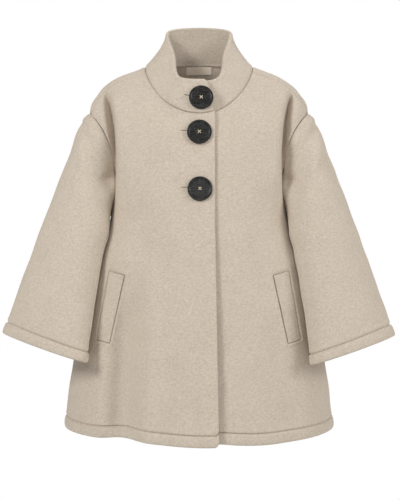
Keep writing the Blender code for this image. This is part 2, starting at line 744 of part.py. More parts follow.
def collar_point(x, height):
    """The same on the collar's upper end."""
    angle = np.array([x / BODY_RINGS[0].front_depth])
    height = np.array([height])
    point = collar(angle, height)
    up = collar(angle, height + 1e-3) - point
    across = collar(angle + 1e-3, height) - point
    normal = unit(np.cross(across, up))
    return (point + normal * COLLAR_LIFT)[0], normal[0]


def new_collection(name):
    made = bpy.data.collections.new(name)
    bpy.context.scene.collection.children.link(made)
    return made


def main():
    for old in list(bpy.data.objects):
        bpy.data.objects.remove(old)
    parts = new_collection("coat")
    cutters = new_collection("cutters")
    fronts = (("right", -1, top_offset, RIGHT_HEM), ("left", 1, under_offset, LEFT_HEM))
    for name, side, offset, hem in fronts:
        walls = panel_walls(*front_grid(side), offset, hem, [(-1, side, 1)])
        panel = cloth_wall(f"front_{name}", walls, WOOL, parts)
        cloth_wall(f"sleeve_{name}", sleeve_walls(side), WOOL, parts)
        cloth_wall(f"pocket_welt_{name}", welt_walls(side, panel), WOOL, parts)
    walls = panel_walls(*back_grid(), no_offset, None, [(0, 1, -1), (-1, -1, -1)])
    cloth_wall("back", walls, WOOL, parts)
    cloth_wall("collar", collar_walls(), WOOL, parts)
    cloth_wall("label", label_walls(), LABEL, parts)
    for place in BUTTONS:
        find = collar_point if place.on == "collar" else top_point
        button(place.node, *find(place.x, place.height), parts, cutters)


main()
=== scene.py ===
"""Looks of a funnel-collar coat: felted wool panels, turned hems, horn buttons and a plain stage.

Metres, +Z up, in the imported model's frame: the coat faces -Y, and the origin is on the centre line
at the height of the neck points. The tables of the coat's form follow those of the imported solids,
with a few softer values.
"""

import math
from collections import namedtuple

import bmesh
import bpy
import numpy as np
from bpy.props import FloatProperty, FloatVectorProperty, PointerProperty
from mathutils import Matrix, Vector


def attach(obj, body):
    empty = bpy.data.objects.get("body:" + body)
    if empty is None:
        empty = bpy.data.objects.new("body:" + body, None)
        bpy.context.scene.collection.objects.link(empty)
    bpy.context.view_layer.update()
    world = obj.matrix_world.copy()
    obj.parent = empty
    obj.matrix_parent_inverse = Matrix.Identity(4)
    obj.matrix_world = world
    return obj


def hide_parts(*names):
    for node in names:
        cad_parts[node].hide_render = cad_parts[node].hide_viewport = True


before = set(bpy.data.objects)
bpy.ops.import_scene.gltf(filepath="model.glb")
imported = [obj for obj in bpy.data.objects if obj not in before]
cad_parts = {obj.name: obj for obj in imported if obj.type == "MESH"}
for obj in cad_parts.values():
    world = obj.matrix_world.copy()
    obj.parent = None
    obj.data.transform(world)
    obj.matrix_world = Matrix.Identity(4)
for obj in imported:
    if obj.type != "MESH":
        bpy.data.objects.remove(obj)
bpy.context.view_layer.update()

bl_info = {
    "name": "Funnel-collar coat",
    "version": (1, 0, 0),
    "blender": (4, 5, 0),
    "location": "View3D > Sidebar > Coat",
    "description": "Builds the wool, buttons and stage of a coat on its packed model",
    "category": "Object",
}

SIDES = (("right", -1), ("left", 1))

# Body sections from the neck seam to the hem. Each is a tilted oval ring.
BodyRing = namedtuple(
    "BodyRing", "name front_z side_z back_z half_width front_depth back_depth roundness"
)
BODY_RINGS = (
    BodyRing("neck_seam", -0.107, 0.000, 0.011, 0.113, 0.102, 0.070, 1.00),
    BodyRing("shoulder_slope", -0.115, -0.019, -0.012, 0.163, 0.1035, 0.076, 0.95),
    BodyRing("shoulder_top", -0.123, -0.036, -0.033, 0.192, 0.105, 0.086, 0.93),
    BodyRing("shoulder_round", -0.133, -0.056, -0.058, 0.211, 0.107, 0.096, 0.93),
    BodyRing("shoulder_tip", -0.150, -0.094, -0.104, 0.229, 0.110, 0.104, 0.95),
    BodyRing("armhole_middle", -0.220, -0.185, -0.192, 0.208, 0.122, 0.113, 0.82),
    BodyRing("underarm", -0.320, -0.300, -0.304, 0.184, 0.134, 0.117, 0.70),
    BodyRing("waist", -0.437, -0.420, -0.420, 0.222, 0.143, 0.120, 0.76),
    BodyRing("hip", -0.640, -0.620, -0.618, 0.263, 0.163, 0.138, 0.88),
    BodyRing("hem", -0.7755, -0.751, -0.746, 0.281, 0.178, 0.155, 1.00),
)
TIP_ROW = 4
UNDERARM_ROW = 6
HEM_ROW = len(BODY_RINGS) - 1
HEM_HEIGHT = BODY_RINGS[-2].side_z - BODY_RINGS[-1].side_z
RING_DIP = 1.3
FOLD_FADE = 0.3

# Seams round the body
SHOULDER_SEAM = math.radians(79)
SIDE_SEAM = math.radians(90)
ARMHOLE_FRONT = math.radians(26.5)
ARMHOLE_BACK = math.radians(28)
ARMHOLE_SQUARE = 2.5
SEAM_GAP = 0.0003
SEAM_DIP_REACH = 0.0018
SEAM_PUFF_AT = 0.006
SEAM_PUFF_WIDTH = 0.004
MITRE_FADE = 0.002
APART_FADE = 0.01
EDGE_ROUNDNESS = 0.92

# Rolls of cloth beside an edge, a hem or a welt: their height, and their distance from it
Puff = namedtuple("Puff", "height at width")
EDGE_PUFF = Puff(0.0009, 0.004, 0.003)
RIM_PUFF = Puff(0.0010, 0.006, 0.004)
WELT_PUFF = Puff(0.0011, 0.0050, 0.0032)
HEM_SHOULDER = Puff(0.0005, 0.006, 0.004)

# Stitched hems
HEM_FULLNESS = 0.45
HEM_STEP = 0.003
GROOVE_WIDTH = 0.0016

# Folds: lines in the front view along which the cloth stands out, or lies in (depth below 0).
# The width is that of the side towards +X, and the other that of the side towards -X.
# The line is bowed along X at its middle by bow. A fold grows over the ramp_in share of its line,
# and dies away over the ramp_out share, if it has one.
Fold = namedtuple("Fold", "name x_start z_start x_end z_end bow depth width other ramp_in ramp_out")
FRONT_FOLDS = (
    Fold("armhole_hollow", 0.192, -0.045, 0.190, -0.350, -0.018, -0.014, 0.016, 0.005, 0.20, 0.35),
    Fold("armhole_crease", 0.194, -0.045, 0.190, -0.350, -0.019, -0.022, 0.007, 0.004, 0.12, 0.35),
    Fold("armhole_ridge", 0.178, -0.055, 0.174, -0.350, -0.016, 0.004, 0.006, 0.024, 0.40, 0.45),
    Fold("chest_hollow", 0.090, -0.075, 0.028, -0.150, 0, -0.004, 0.016, 0.016, 0.45, 0.45),
)
RIGHT_FOLDS = (
    Fold("skirt_trough", -0.143, -0.400, -0.168, -0.950, 0, -0.028, 0.030, 0.028, 0.35, 0.45),
    Fold("skirt_ridge", -0.094, -0.380, -0.116, -0.950, 0, 0.010, 0.026, 0.024, 0.35, 0.45),
    Fold("waist_trough", -0.120, -0.200, -0.122, -0.500, 0, -0.003, 0.020, 0.020, 0.45, 0.45),
)
LEFT_FOLDS = (
    Fold("skirt_trough", 0.150, -0.480, 0.180, -0.780, 0, -0.006, 0.032, 0.032, 0.45, 0),
    Fold("waist_trough", 0.118, -0.240, 0.128, -0.520, 0, -0.002, 0.022, 0.022, 0.45, 0.45),
)
BACK_FOLDS = (
    Fold("right_blade_trough", -0.186, -0.060, -0.176, -0.300, 0, -0.016, 0.017, 0.017, 0.45, 0.45),
    Fold("left_blade_trough", 0.186, -0.060, 0.176, -0.300, 0, -0.016, 0.017, 0.017, 0.45, 0.45),
    Fold("right_back_trough", -0.110, -0.380, -0.135, -0.760, 0, -0.014, 0.038, 0.038, 0.45, 0),
    Fold("left_back_trough", 0.105, -0.430, 0.140, -0.760, 0, -0.015, 0.038, 0.038, 0.45, 0),
)
BACK_HEM_RISE = 0.4

# How far a front's hem rises above the hem ring, at places across the front
HemPoint = namedtuple("HemPoint", "x rise")
RIGHT_HEM = (
    HemPoint(-0.285, 0.0000),
    HemPoint(-0.212, 0.0030),
    HemPoint(-0.146, 0.0095),
    HemPoint(-0.101, 0.0055),
    HemPoint(-0.047, 0.0020),
    HemPoint(0.000, 0.0000),
    HemPoint(0.045, -0.0003),
)
LEFT_HEM = (
    HemPoint(-0.040, 0.0066),
    HemPoint(0.042, 0.0062),
    HemPoint(0.077, 0.0028),
    HemPoint(0.113, 0.0000),
    HemPoint(0.160, -0.0016),
    HemPoint(0.285, -0.0016),
)
HEM_RISE_START = -0.60
HEM_RISE_RUN = 0.15

# Slight unevenness of pressed cloth: waves per metre along X, Y and Z, phase and height
Ripple = namedtuple("Ripple", "x y z phase height")
RIPPLES = (
    Ripple(9.0, 4.0, 5.0, 0.3, 0.00040),
    Ripple(-6.0, 5.0, 11.0, 1.9, 0.00035),
    Ripple(15.0, -8.0, 4.0, 4.1, 0.00022),
    Ripple(5.0, 13.0, -17.0, 2.7, 0.00018),
    Ripple(-21.0, 7.0, 12.0, 5.2, 0.00012),
)

# Front closing: the wearer's right front lies on the left one
OVERLAP = 0.035
OVERLAP_RAMP = 0.045
EDGE_DRIFT = 0.006
EDGE_DRIFT_ABOVE = 0.4
TOP_LIFT = 0.0030
UNDER_SINK = 0.0030
HEM_LIFT = 0.004
EDGE_LIFT = 0.005
EDGE_LIFT_START = -0.25
EDGE_LIFT_RUN = 0.45
EDGE_LIFT_SHIFT = 0.3
FRONT_CORNER = 0.009
CORNER_FADE = 0.05
FACING_WIDTH = 0.02
FACING_FADE = 0.008
FACING_CLOTH = 0.0012

# Sleeve sections from just outside the armhole to the cuff.
# out is the distance from the centre plane, and forward the distance in front of it.
SleeveRing = namedtuple(
    "SleeveRing", "name along out forward z half_width half_depth tilt turn"
)
SLEEVE_RINGS = (
    SleeveRing("cap", 0.08, 0.2215, 0.008, -0.2165, 0.1000, 0.064, 76, 8),
    SleeveRing("upper_arm", 0.25, 0.2277, 0.028, -0.266, 0.0945, 0.062, 60, 24),
    SleeveRing("elbow", 0.50, 0.2535, 0.054, -0.347, 0.0795, 0.054, 39, 24),
    SleeveRing("forearm", 0.75, 0.2858, 0.074, -0.464, 0.0870, 0.049, 26, 25),
    SleeveRing("cuff", 1.00, 0.3142, 0.0935, -0.5825, 0.1000, 0.044, 17.5, 24),
)
SLEEVE_LENGTH = 0.43
LEFT_SLEEVE_DROP = 0.0045
SLEEVE_SET = 0.03
SLEEVE_HEAD = 0.0075
SLEEVE_FILL = 0.0032
UNDERARM_OUT = 0.0005
BODY_CLEAR = 0.0026
CLEAR_SHARPNESS = 90
CLEAR_ROUNDS = 12
WALL_TURN = 0.08
STEEPEST_MITRE = 0.45

# Under the arm, the front of the sleeve hangs forward and inward over the armhole seam
LIP_INWARD = 0.006
LIP_FORWARD = 0.005
LIP_TURN = math.radians(20)
LIP_TURN_WIDTH = math.radians(38)
LIP_ALONG = 0.05
LIP_ALONG_WIDTH = 0.14

# Collar: it rises from the neck seam to a rim through these points of one half
RimPoint = namedtuple("RimPoint", "name angle x y z")
RIM_POINTS = (
    RimPoint("front", 0, 0.000, -0.086, -0.036),
    RimPoint("front_corner", 40, 0.0400, -0.076, -0.028),
    RimPoint("side", 90, 0.0515, -0.012, 0.028),
    RimPoint("back_corner", 140, 0.0690, 0.036, 0.079),
    RimPoint("back", 180, 0.000, 0.053, 0.091),
)
COLLAR_SWELL = 0.010
RIM_CLOTH = 0.0082
RIM_CLOTH_REACH = 0.012
COLLAR_NORMAL_BLEND = 0.3
COLLAR_CORNER = 0.014
COLLAR_OVERLAP = 0.0295
COLLAR_LIFT = 0.0060
COLLAR_SINK = 0.0052
COLLAR_FRONT_HEIGHT = 0.073
COLLAR_LAP = math.radians(60)
COLLAR_RAMP = math.radians(22)

# Pocket welts: the middle of the top edge in the front view, then the slants
WELT_TOP = (0.167, -0.4316)
WELT_LEAN = math.radians(11.2)
WELT_TAPER = 0.16
WELT_END_SLANT = math.radians(15)
WELT_DITCH = 0.0013
WELT_DITCH_RUN = 0.0024
WELT_SINK = 0.0036
WELT_CLOTH = 0.0022
WELT_PROUD = 0.0002

# Neck label: its first row of the body, and the height of one such row
LABEL_ROW = 0.08
LABEL_ROW_HEIGHT = 0.026
LABEL_GAP = 0.0006
LABEL_CLOTH = 0.001

# Buttons and their holes in the cloth
ButtonPlace = namedtuple("ButtonPlace", "node on x height")
BUTTONS = (
    ButtonPlace("button_1", "collar", 0.0050, 0.43),
    ButtonPlace("button_2", "front", 0.0010, -0.146),
    ButtonPlace("button_3", "front", 0.0020, -0.2615),
)
BUTTON_HOLE_REACH = 0.0047
BUTTON_GAP = 0.0006
BUTTON_DISH = 0.0013
BUTTON_RIM = 0.0046
DISH_START = 0.0018
DISH_RUN = 0.0030
DISH_END = 0.0014
FACE_ROUND = 0.0019
BACK_ROUND = 0.0016
BUTTON_SEGMENTS = 96
HOLE_SEGMENTS = 24
SHARP_ANGLE = math.radians(45)
MERGE_DISTANCE = 1e-6
SLIT_ABOVE_BUTTON = 0.0033
SLIT_END = -0.0365
SLIT_COVERED_END = -0.010
SLIT_APART = 0.0005
# The slit's dark thread is painted shade: it stands in for the shade inside the buttonhole
SLIT_PROUD = 0.0002
SLIT_RADIUS = 0.0003
SLIT_LIP_PROUD = 0.0001
SLIT_LIP_RADIUS = 0.00035

# Threads: the cross in a button, and the stitches of a hem
CROSS_RADIUS = 0.0004
CROSS_APART = 0.0006
CROSS_ARCH = 0.0013
CROSS_DIP = 0.0012
CROSS_DIP_FROM = 0.95
CROSS_LIFT = 0.0005
ROUND_SIDES = 8
THREAD_ASIDE = (0.31, 0.87, 0.38)
THREAD_TIP = 0.35
STITCH_PITCH = 1.35
STITCH_START = 0.3
STITCH_ARCH = np.array((-1.2, 0.3, 0.7, 0.3, -1.2))

# Distances from an edge at which the cloth has a line of points, for its rounding and seams
EDGE_STEPS = np.array((0, 0.0002, 0.0005, 0.0009, 0.0014, 0.0021, 0.0031, 0.0046, 0.0066, 0.0090))
GROOVE_STEPS = np.linspace(-0.006, 0.006, 11)

# How finely the cloth is divided: numbers of rows and columns, and the places between them
SHOULDER_COUNT = 44
SHOULDER_CROWDING = 1.8
ARMHOLE_COUNT = 76
SKIRT_COUNT = 28
WAIST_ROW = 7.0
WELT_END_ROW = 7.9
WELT_ROWS = 110
PLAIN_ROWS = 40
HEM_ZONE = 0.034
HEM_ZONE_END = 0.011
HEM_COUNT = 12
FRONT_WIDTH = 0.36
WELT_SPREAD = (0.50, 0.71)
FRONT_COUNTS = (28, 44, 54)
BACK_HALF_WIDTH = 0.30
BACK_COUNT = 48
SLEEVE_RADIUS = 0.05
SLEEVE_ROUND_COUNT = 110
SLEEVE_COUNT = 100
CUFF_COUNT = 16
COLLAR_ROUND_COUNT = 260
COLLAR_COUNT = 28
WELT_COUNTS = (12, 50)
LABEL_COUNTS = (40, 18)
SLIT_COUNT = 24
NORMAL_STEP = 1e-3
SLEEVE_STEP = 1e-2

# Search for a place of the front view on the body: its first guess, its steps and its limits
FIND_WIDTH = 0.24
FIND_SINE = 0.95
FIND_STEP = 1e-4
FIND_ROUNDS = 40
FIND_PACE = 0.7
FIND_ANGLE = 1.4
FIND_ROW = 0.02

# Materials: fibre noises in features per metre, the values at which they show, and finishes
Noise = namedtuple("Noise", "scale detail roughness distortion")
PATCHES = Noise(22.0, 3.0, 0.55, 0.0)
NAP = Noise(300.0, 5.0, 0.62, 0.6)
WEFT = Noise(620.0, 3.0, 0.6, 0.8)
FIBRES = Noise(1300.0, 3.0, 0.7, 1.4)
HORN_CLOUD = Noise(95.0, 5.0, 0.62, 1.8)
HORN_GRAIN = Noise(420.0, 4.0, 0.65, 0.6)
FLOOR_CLOUD = Noise(3.0, 4.0, 0.5, 0.0)
PATCH_RANGE = (0.25, 0.85)
NAP_RANGE = (0.38, 0.66)
WEFT_RANGE = (0.37, 0.65)
FLECK_RANGE = (0.58, 0.80)
STREAK_RANGE = (0.44, 0.66)
WHOLE_RANGE = (0.0, 1.0)
WEFT_STRETCH = (0.30, 0.55, 1.0)
WEFT_TURN = (0.0, math.radians(14), 0.0)
SHADE_SHARE = 0.50
PATCH_SHARE = 0.14
FLECK_SHARE = 0.55
NAP_HEIGHT = 0.6
FIBRE_HEIGHT = 0.7
Felt = namedtuple("Felt", "fineness relief sheen")
WOOL_FELT = Felt(1.0, 0.0009, 0.48)
THREAD_FELT = Felt(3.0, 0.0002, 0.10)
TAPE_FELT = Felt(2.2, 0.0003, 0.15)
THREAD_PALE = 1.25
THREAD_DARK = 0.75
FELT_BUMP = 0.55
FELT_FINISH = {"Roughness": 0.94, "Specular IOR Level": 0.18, "Sheen Roughness": 0.55}
HORN_TURN = (0.2, math.radians(35), 0.3)
HORN_STRETCH = (1.0, 1.0, 2.6)
HORN_ROUGHNESS = (0.24, 0.46)
HORN_BUMP = 0.25
HORN_RELIEF = 0.0003
HORN_FINISH = {"Specular IOR Level": 0.22, "Coat Weight": 0.05, "Coat Roughness": 0.25}
FLOOR_ROUGHNESS = (0.75, 0.9)

# Place and size of the photograph's frame
FRAME_HEIGHT = 1.05
FRAME_CENTRE = (0.0022, -0.384)
SENSOR = 36.0
FLOOR_HEIGHT = -1.40
FLOOR_RADIUS = 2.4
FLOOR_SEGMENTS = 96

# Soft lights: the stage value that gives their power, their size and their place
Lamp = namedtuple("Lamp", "power size place")
LAMPS = (
    Lamp("key", 0.8, (-2.0, -2.0, 1.0)),
    Lamp("fill", 1.2, (2.6, -1.5, 0.7)),
    Lamp("front", 0.8, (0.0, -3.0, 0.4)),
    Lamp("top", 1.4, (0.0, -0.7, 1.9)),
    Lamp("back", 1.8, (0.6, 2.4, 1.4)),
)


def metres(name, default, description):
    """A length that the user can change."""
    return FloatProperty(
        name=name, description=description, default=default, min=0.0, precision=4, unit="LENGTH"
    )


def tint(name, default, description):
    """A colour that the user can change."""
    return FloatVectorProperty(
        name=name, description=description, default=default, min=0.0, max=1.0, subtype="COLOR"
    )


def amount(name, default, description):
    """A plain number that the user can change."""
    return FloatProperty(name=name, description=description, default=default, min=0.0)


class CoatSizes(bpy.types.PropertyGroup):
    """Sizes of the cloth, hems, welts, buttons and label."""

    cloth: metres("Cloth", 0.0024, "Thickness of one layer of wool")
    folded_cloth: metres("Folded cloth", 0.0050, "Thickness of turned hems and of the collar")
    hem_turn: metres("Hem turn", 0.023, "Height of the stitched hem")
    cuff_turn: metres("Cuff turn", 0.020, "Height of the stitched hem of a sleeve")
    hem_groove: metres("Hem groove", 0.0028, "Depth to which the stitches pull a hem in")
    hem_puff: metres("Hem puff", 0.0023, "How far a turned hem stands out")
    seam_dip: metres("Seam dip", 0.0010, "Depth to which a seam pulls the cloth in")
    seam_puff: metres("Seam puff", 0.0006, "How far the cloth stands out beside a seam")
    welt_length: metres("Welt length", 0.140, "Length of a pocket welt")
    welt_width: metres("Welt width", 0.031, "Width of a pocket welt")
    button_radius: metres("Button radius", 0.025, "Radius of a button")
    button_thick: metres("Button thickness", 0.005, "Thickness of a button at its rim")
    button_hole: metres("Thread hole", 0.0016, "Radius of a button's thread holes")
    label_width: metres("Label width", 0.056, "Width of the neck label")
    label_drop: metres("Label drop", 0.019, "Height of the neck label")
    stitch: metres("Stitch", 0.0030, "Length of one stitch of the hems")
    thread: metres("Thread", 0.00028, "Radius of the sewing thread")


class CoatColours(bpy.types.PropertyGroup):
    """Colours of the wool, horn, thread, label and floor."""

    wool: tint("Wool", (0.690, 0.600, 0.498), "Main colour of the felted wool")
    wool_shade: tint("Wool shade", (0.480, 0.405, 0.322), "Darker fibres of the wool")
    wool_fleck: tint("Wool fleck", (0.800, 0.725, 0.635), "Pale fibres of the wool")
    horn: tint("Horn", (0.006, 0.006, 0.006), "Dark ground of the buttons")
    horn_streak: tint("Horn streak", (0.045, 0.044, 0.041), "Paler streaks in the buttons")
    thread: tint("Thread", (0.34, 0.275, 0.205), "Thread of hems and buttonholes")
    button_thread: tint("Button thread", (0.62, 0.53, 0.40), "Thread through the buttons")
    label: tint("Label", (0.98, 0.86, 0.72), "Woven tape of the neck label")
    label_shade: tint("Label shade", (0.88, 0.75, 0.60), "Darker yarn of the neck label")
    # Painted shade: the colour of the dark thread laid in each buttonhole's slit, in place of the
    # shade inside it
    slit: tint("Slit", (0.10, 0.078, 0.056), "Shade inside a buttonhole")
    floor: tint("Floor", (0.80, 0.80, 0.79), "Pale floor")


class CoatStage(bpy.types.PropertyGroup):
    """Camera and light."""

    camera_distance: metres("Camera distance", 3.0, "From the camera to the coat's centre plane")
    key: amount("Key light", 45.0, "Power of the large light at the upper left, in watts")
    fill: amount("Fill light", 40.0, "Power of the light at the right, in watts")
    top: amount("Top light", 4.0, "Power of the light above the coat, in watts")
    front: amount("Front light", 7.0, "Power of the light over the camera, in watts")
    back: amount("Back light", 16.0, "Power of the light behind the coat, in watts")
    ambient: amount("Ambient", 0.38, "Strength of the white surroundings as a light")


def smooth_step(value):
    """0 below 0, 1 above 1, with a soft change between."""
    t = np.clip(value, 0.0, 1.0)
    return t * t * (3 - 2 * t)


def hump(value, centre, width):
    """A soft bump of height 1."""
    return np.exp(-(((value - centre) / width) ** 2))


def puff(distance, form):
    """How far a roll of cloth stands out at distances from its edge."""
    return form.height * hump(distance, form.at, form.width)


def smooth_through(knots, values, at):
    """A cubic through values (one row for each knot) that never overshoots them."""
    knots = np.asarray(knots, float)
    values = np.asarray(values, float)
    at = np.clip(np.asarray(at, float), knots[0], knots[-1])
    span = np.diff(knots).reshape((-1,) + (1,) * (values.ndim - 1))
    rise = np.diff(values, axis=0) / span
    slope = np.empty_like(values)
    slope[0] = rise[0]
    slope[-1] = rise[-1]
    middle = (span[1:] * rise[:-1] + span[:-1] * rise[1:]) / (span[1:] + span[:-1])
    most = 3 * np.minimum(np.abs(rise[:-1]), np.abs(rise[1:]))
    limited = np.sign(middle) * np.minimum(np.abs(middle), most)
    slope[1:-1] = np.where(rise[:-1] * rise[1:] > 0, limited, 0.0)
    i = np.clip(np.searchsorted(knots, at, side="right") - 1, 0, len(knots) - 2)
    shape = at.shape + (1,) * (values.ndim - 1)
    h = (knots[i + 1] - knots[i]).reshape(shape)
    t = (at - knots[i]).reshape(shape) / h
    return (
        (2 * t**3 - 3 * t**2 + 1) * values[i]
        + (t**3 - 2 * t**2 + t) * h * slope[i]
        + (3 * t**2 - 2 * t**3) * values[i + 1]
        + (t**3 - t**2) * h * slope[i + 1]
    )


def unit(vectors):
    return vectors / np.linalg.norm(vectors, axis=-1, keepdims=True)


def outward(surface, p, q, step=NORMAL_STEP):
    """The surface's normal by differences; p runs round the coat and q down it."""
    along_p = surface(p + step, q) - surface(p - step, q)
    along_q = surface(p, q + step) - surface(p, q - step)
    return unit(np.cross(along_q, along_p))


def joined(*runs):
    """One rising row of values from runs that may share their ends."""
    return np.unique(np.round(np.concatenate([np.atleast_1d(r) for r in runs]), 9))


def edged(steps, first, last, count):
    """Values from first to last, evenly apart but crowded by the steps at both ends."""
    inner = np.linspace(first + steps[-1], last - steps[-1], count)
    return joined(first + steps, inner, last - steps)


def body_base(angle, row):
    """The body without folds. Angle 0 is the centre front, and it grows towards +X."""
    sizes = smooth_through(range(len(BODY_RINGS)), [r[1:] for r in BODY_RINGS], row)
    size = BodyRing("", *np.moveaxis(sizes, -1, 0))
    cos = np.cos(angle)
    end_z = np.where(cos >= 0, size.front_z, size.back_z)
    depth = np.where(cos >= 0, size.front_depth, -size.back_depth)
    x = size.half_width * np.sin(angle)
    y = -depth * np.abs(cos) ** size.roundness
    z = size.side_z + (end_z - size.side_z) * np.abs(cos) ** RING_DIP
    return np.stack([x, y, z], axis=-1)


def fold_shift(points, folds, side=1):
    """How far each point stands out for the folds that cross it in the front view."""
    shift = np.zeros(points.shape[:-1])
    for fold in folds:
        run = np.array([fold.x_end - fold.x_start, fold.z_end - fold.z_start])
        length = np.hypot(*run)
        flat = points[..., [0, 2]] * np.array([side, 1])
        rel = flat - np.array([fold.x_start, fold.z_start])
        along = rel @ run / length**2
        across = (rel[..., 0] * run[1] - rel[..., 1] * run[0]) / length
        across = across + fold.bow * 4 * along * (1 - along)
        strength = smooth_step(along / fold.ramp_in)
        if fold.ramp_out:
            strength = strength * smooth_step((1 - along) / fold.ramp_out)
        width = np.where(across < 0, fold.width, fold.other)
        shift += fold.depth * strength * hump(across, 0, width)
    return shift


def body(angle, row):
    """The body's outer surface with its folds."""
    angle, row = np.broadcast_arrays(np.asarray(angle, float), np.asarray(row, float))
    row = np.clip(row, 0, HEM_ROW)
    points = body_base(angle, row)
    cos = np.cos(angle)
    front = fold_shift(points, RIGHT_FOLDS + LEFT_FOLDS)
    for side in (-1, 1):
        front = front + fold_shift(points, FRONT_FOLDS, side)
    front = front * smooth_step(cos / FOLD_FADE)
    back = fold_shift(points, BACK_FOLDS) * smooth_step(-cos / FOLD_FADE)
    low = smooth_step((HEM_RISE_START - points[..., 2]) / HEM_RISE_RUN)
    rise = -BACK_HEM_RISE * np.minimum(back, 0) * low
    return points + np.stack([0 * front, back - front, rise], axis=-1)


def hem_rise(points, hem):
    """How far a front's points rise so that its hem follows the table."""
    rise = smooth_through([p.x for p in hem], [p.rise for p in hem], points[..., 0])
    return rise * smooth_step((HEM_RISE_START - points[..., 2]) / HEM_RISE_RUN)


def ripple(points):
    """The slight unevenness of pressed cloth."""
    shift = np.zeros(points.shape[:-1])
    for wave in RIPPLES:
        turn = points @ np.array([wave.x, wave.y, wave.z]) * 2 * np.pi
        shift += wave.height * np.sin(turn + wave.phase)
    return shift


def seam_angle(row):
    """Where the shoulder seam, and below the armhole the side seam, lies round the body."""
    down = (np.asarray(row, float) - TIP_ROW) / (UNDERARM_ROW - TIP_ROW)
    return SHOULDER_SEAM + (SIDE_SEAM - SHOULDER_SEAM) * np.clip(down, 0, 1)


def armhole_share(down):
    """How far open the armhole is, from 0 to 1, between -1 at the shoulder tip and 1 under the arm.
    Its lower half is squarer than its upper half."""
    power = np.where(down > 0, ARMHOLE_SQUARE, 2.0)
    return np.clip(1 - np.abs(down) ** power, 0, 1) ** (1 / power)


def armhole_reach(row):
    """How much of the armhole is open at a row."""
    middle = (TIP_ROW + UNDERARM_ROW) / 2
    half = (UNDERARM_ROW - TIP_ROW) / 2
    return armhole_share((np.asarray(row, float) - middle) / half)


def ring_size(field, row):
    """One of the body's sizes at a row."""
    column = [getattr(ring, field) for ring in BODY_RINGS]
    return smooth_through(range(len(BODY_RINGS)), column, row)


def body_rows(turned, fine, sizes):
    """Rows of the body from the neck seam to the hem. Along the armhole they are even, or
    turned, which spaces them evenly round the armhole's own curve."""
    shoulder = TIP_ROW * np.linspace(0, 1, SHOULDER_COUNT) ** SHOULDER_CROWDING
    even = np.linspace(0, 1, ARMHOLE_COUNT)
    down = (1 - np.cos(np.pi * even)) / 2 if turned else even
    armhole_rows = TIP_ROW + (UNDERARM_ROW - TIP_ROW) * down
    low = HEM_ROW - HEM_ZONE / HEM_HEIGHT
    skirt = np.concatenate(
        [
            np.linspace(UNDERARM_ROW, WAIST_ROW, SKIRT_COUNT),
            np.linspace(WAIST_ROW, WELT_END_ROW, WELT_ROWS if fine else PLAIN_ROWS),
            np.linspace(WELT_END_ROW, low, SKIRT_COUNT),
        ]
    )
    above_hem = np.linspace(HEM_ZONE, HEM_ZONE_END, HEM_COUNT)
    in_hem = np.concatenate([above_hem, EDGE_STEPS, sizes.hem_turn + GROOVE_STEPS])
    hem = HEM_ROW - in_hem / HEM_HEIGHT
    tail = joined(skirt[1:], hem)
    return np.concatenate([shoulder[:-1], armhole_rows, tail])


def blend_rows(share, fine, sizes):
    """Rows of a panel's points: even where share is 0, and turned at the armhole, where it is 1."""
    even = body_rows(False, fine, sizes)[:, None]
    turned = body_rows(True, fine, sizes)[:, None]
    return even + (turned - even) * share


def front_grid(side, sizes):
    """Angles and rows of a front panel's points, from its front edge to its side edge."""
    edge_share = EDGE_STEPS / FRONT_WIDTH
    places = (edge_share[-1], *WELT_SPREAD, 1 - edge_share[-1])
    runs = [np.linspace(*run) for run in zip(places[:-1], places[1:], FRONT_COUNTS)]
    spread = joined(edge_share, *runs, 1 - edge_share)
    row = blend_rows(spread**2, True, sizes)
    first = row[:, :1]
    down = smooth_step((first - UNDERARM_ROW) / (HEM_ROW - UNDERARM_ROW))
    lap = OVERLAP + EDGE_DRIFT * (down - EDGE_DRIFT_ABOVE)
    edge = -np.arcsin(lap / ring_size("half_width", first))
    last = row[:, -1:]
    seam = seam_angle(last) - SEAM_GAP / 2 / ring_size("front_depth", last)
    cut = ARMHOLE_FRONT * armhole_reach(last) * spread**2
    return side * (edge + (seam - edge) * spread - cut), row


def back_grid(sizes):
    """Angles and rows of the back panel's points, from one side seam round to the other."""
    edge_share = EDGE_STEPS / BACK_HALF_WIDTH
    half = joined(np.linspace(0, 1 - edge_share[-1], BACK_COUNT), 1 - edge_share)
    spread = joined(-half, half)
    row = blend_rows(spread**2, False, sizes)
    last = row[:, -1:]
    seam = seam_angle(last) + SEAM_GAP / 2 / ring_size("front_depth", last)
    cut = ARMHOLE_BACK * armhole_reach(last) * np.abs(spread)
    return np.pi + spread * (np.pi - seam - cut), row


def armhole(side, turn):
    """Points of the armhole seam and the body's normals there. Turn 0 is the underarm,
    pi the shoulder tip, and the front lies between."""
    down = (1 + np.cos(turn)) / 2
    row = TIP_ROW + (UNDERARM_ROW - TIP_ROW) * down
    reach = np.where(np.sin(turn) > 0, ARMHOLE_FRONT, -ARMHOLE_BACK)
    angle = side * (seam_angle(row) - reach * armhole_share(np.cos(turn)))
    return body(angle, row), outward(body, angle, row)


def sleeve_ring(side, turn, ring):
    """The oval of a sleeve section."""
    tilt = math.radians(ring.tilt)
    twist = math.radians(ring.turn)
    inward = np.array([-math.cos(tilt) * side, 0, -math.sin(tilt)])
    back = np.array([0.0, 1.0, 0.0])
    wide = inward * math.cos(twist) - back * math.sin(twist)
    deep = inward * math.sin(twist) + back * math.cos(twist)
    drop = LEFT_SLEEVE_DROP * ring.along if side > 0 else 0.0
    centre = np.array([ring.out * side, -ring.forward, ring.z - drop])
    across = ring.half_width * np.cos(turn)[:, None] * wide
    return centre + across - ring.half_depth * np.sin(turn)[:, None] * deep


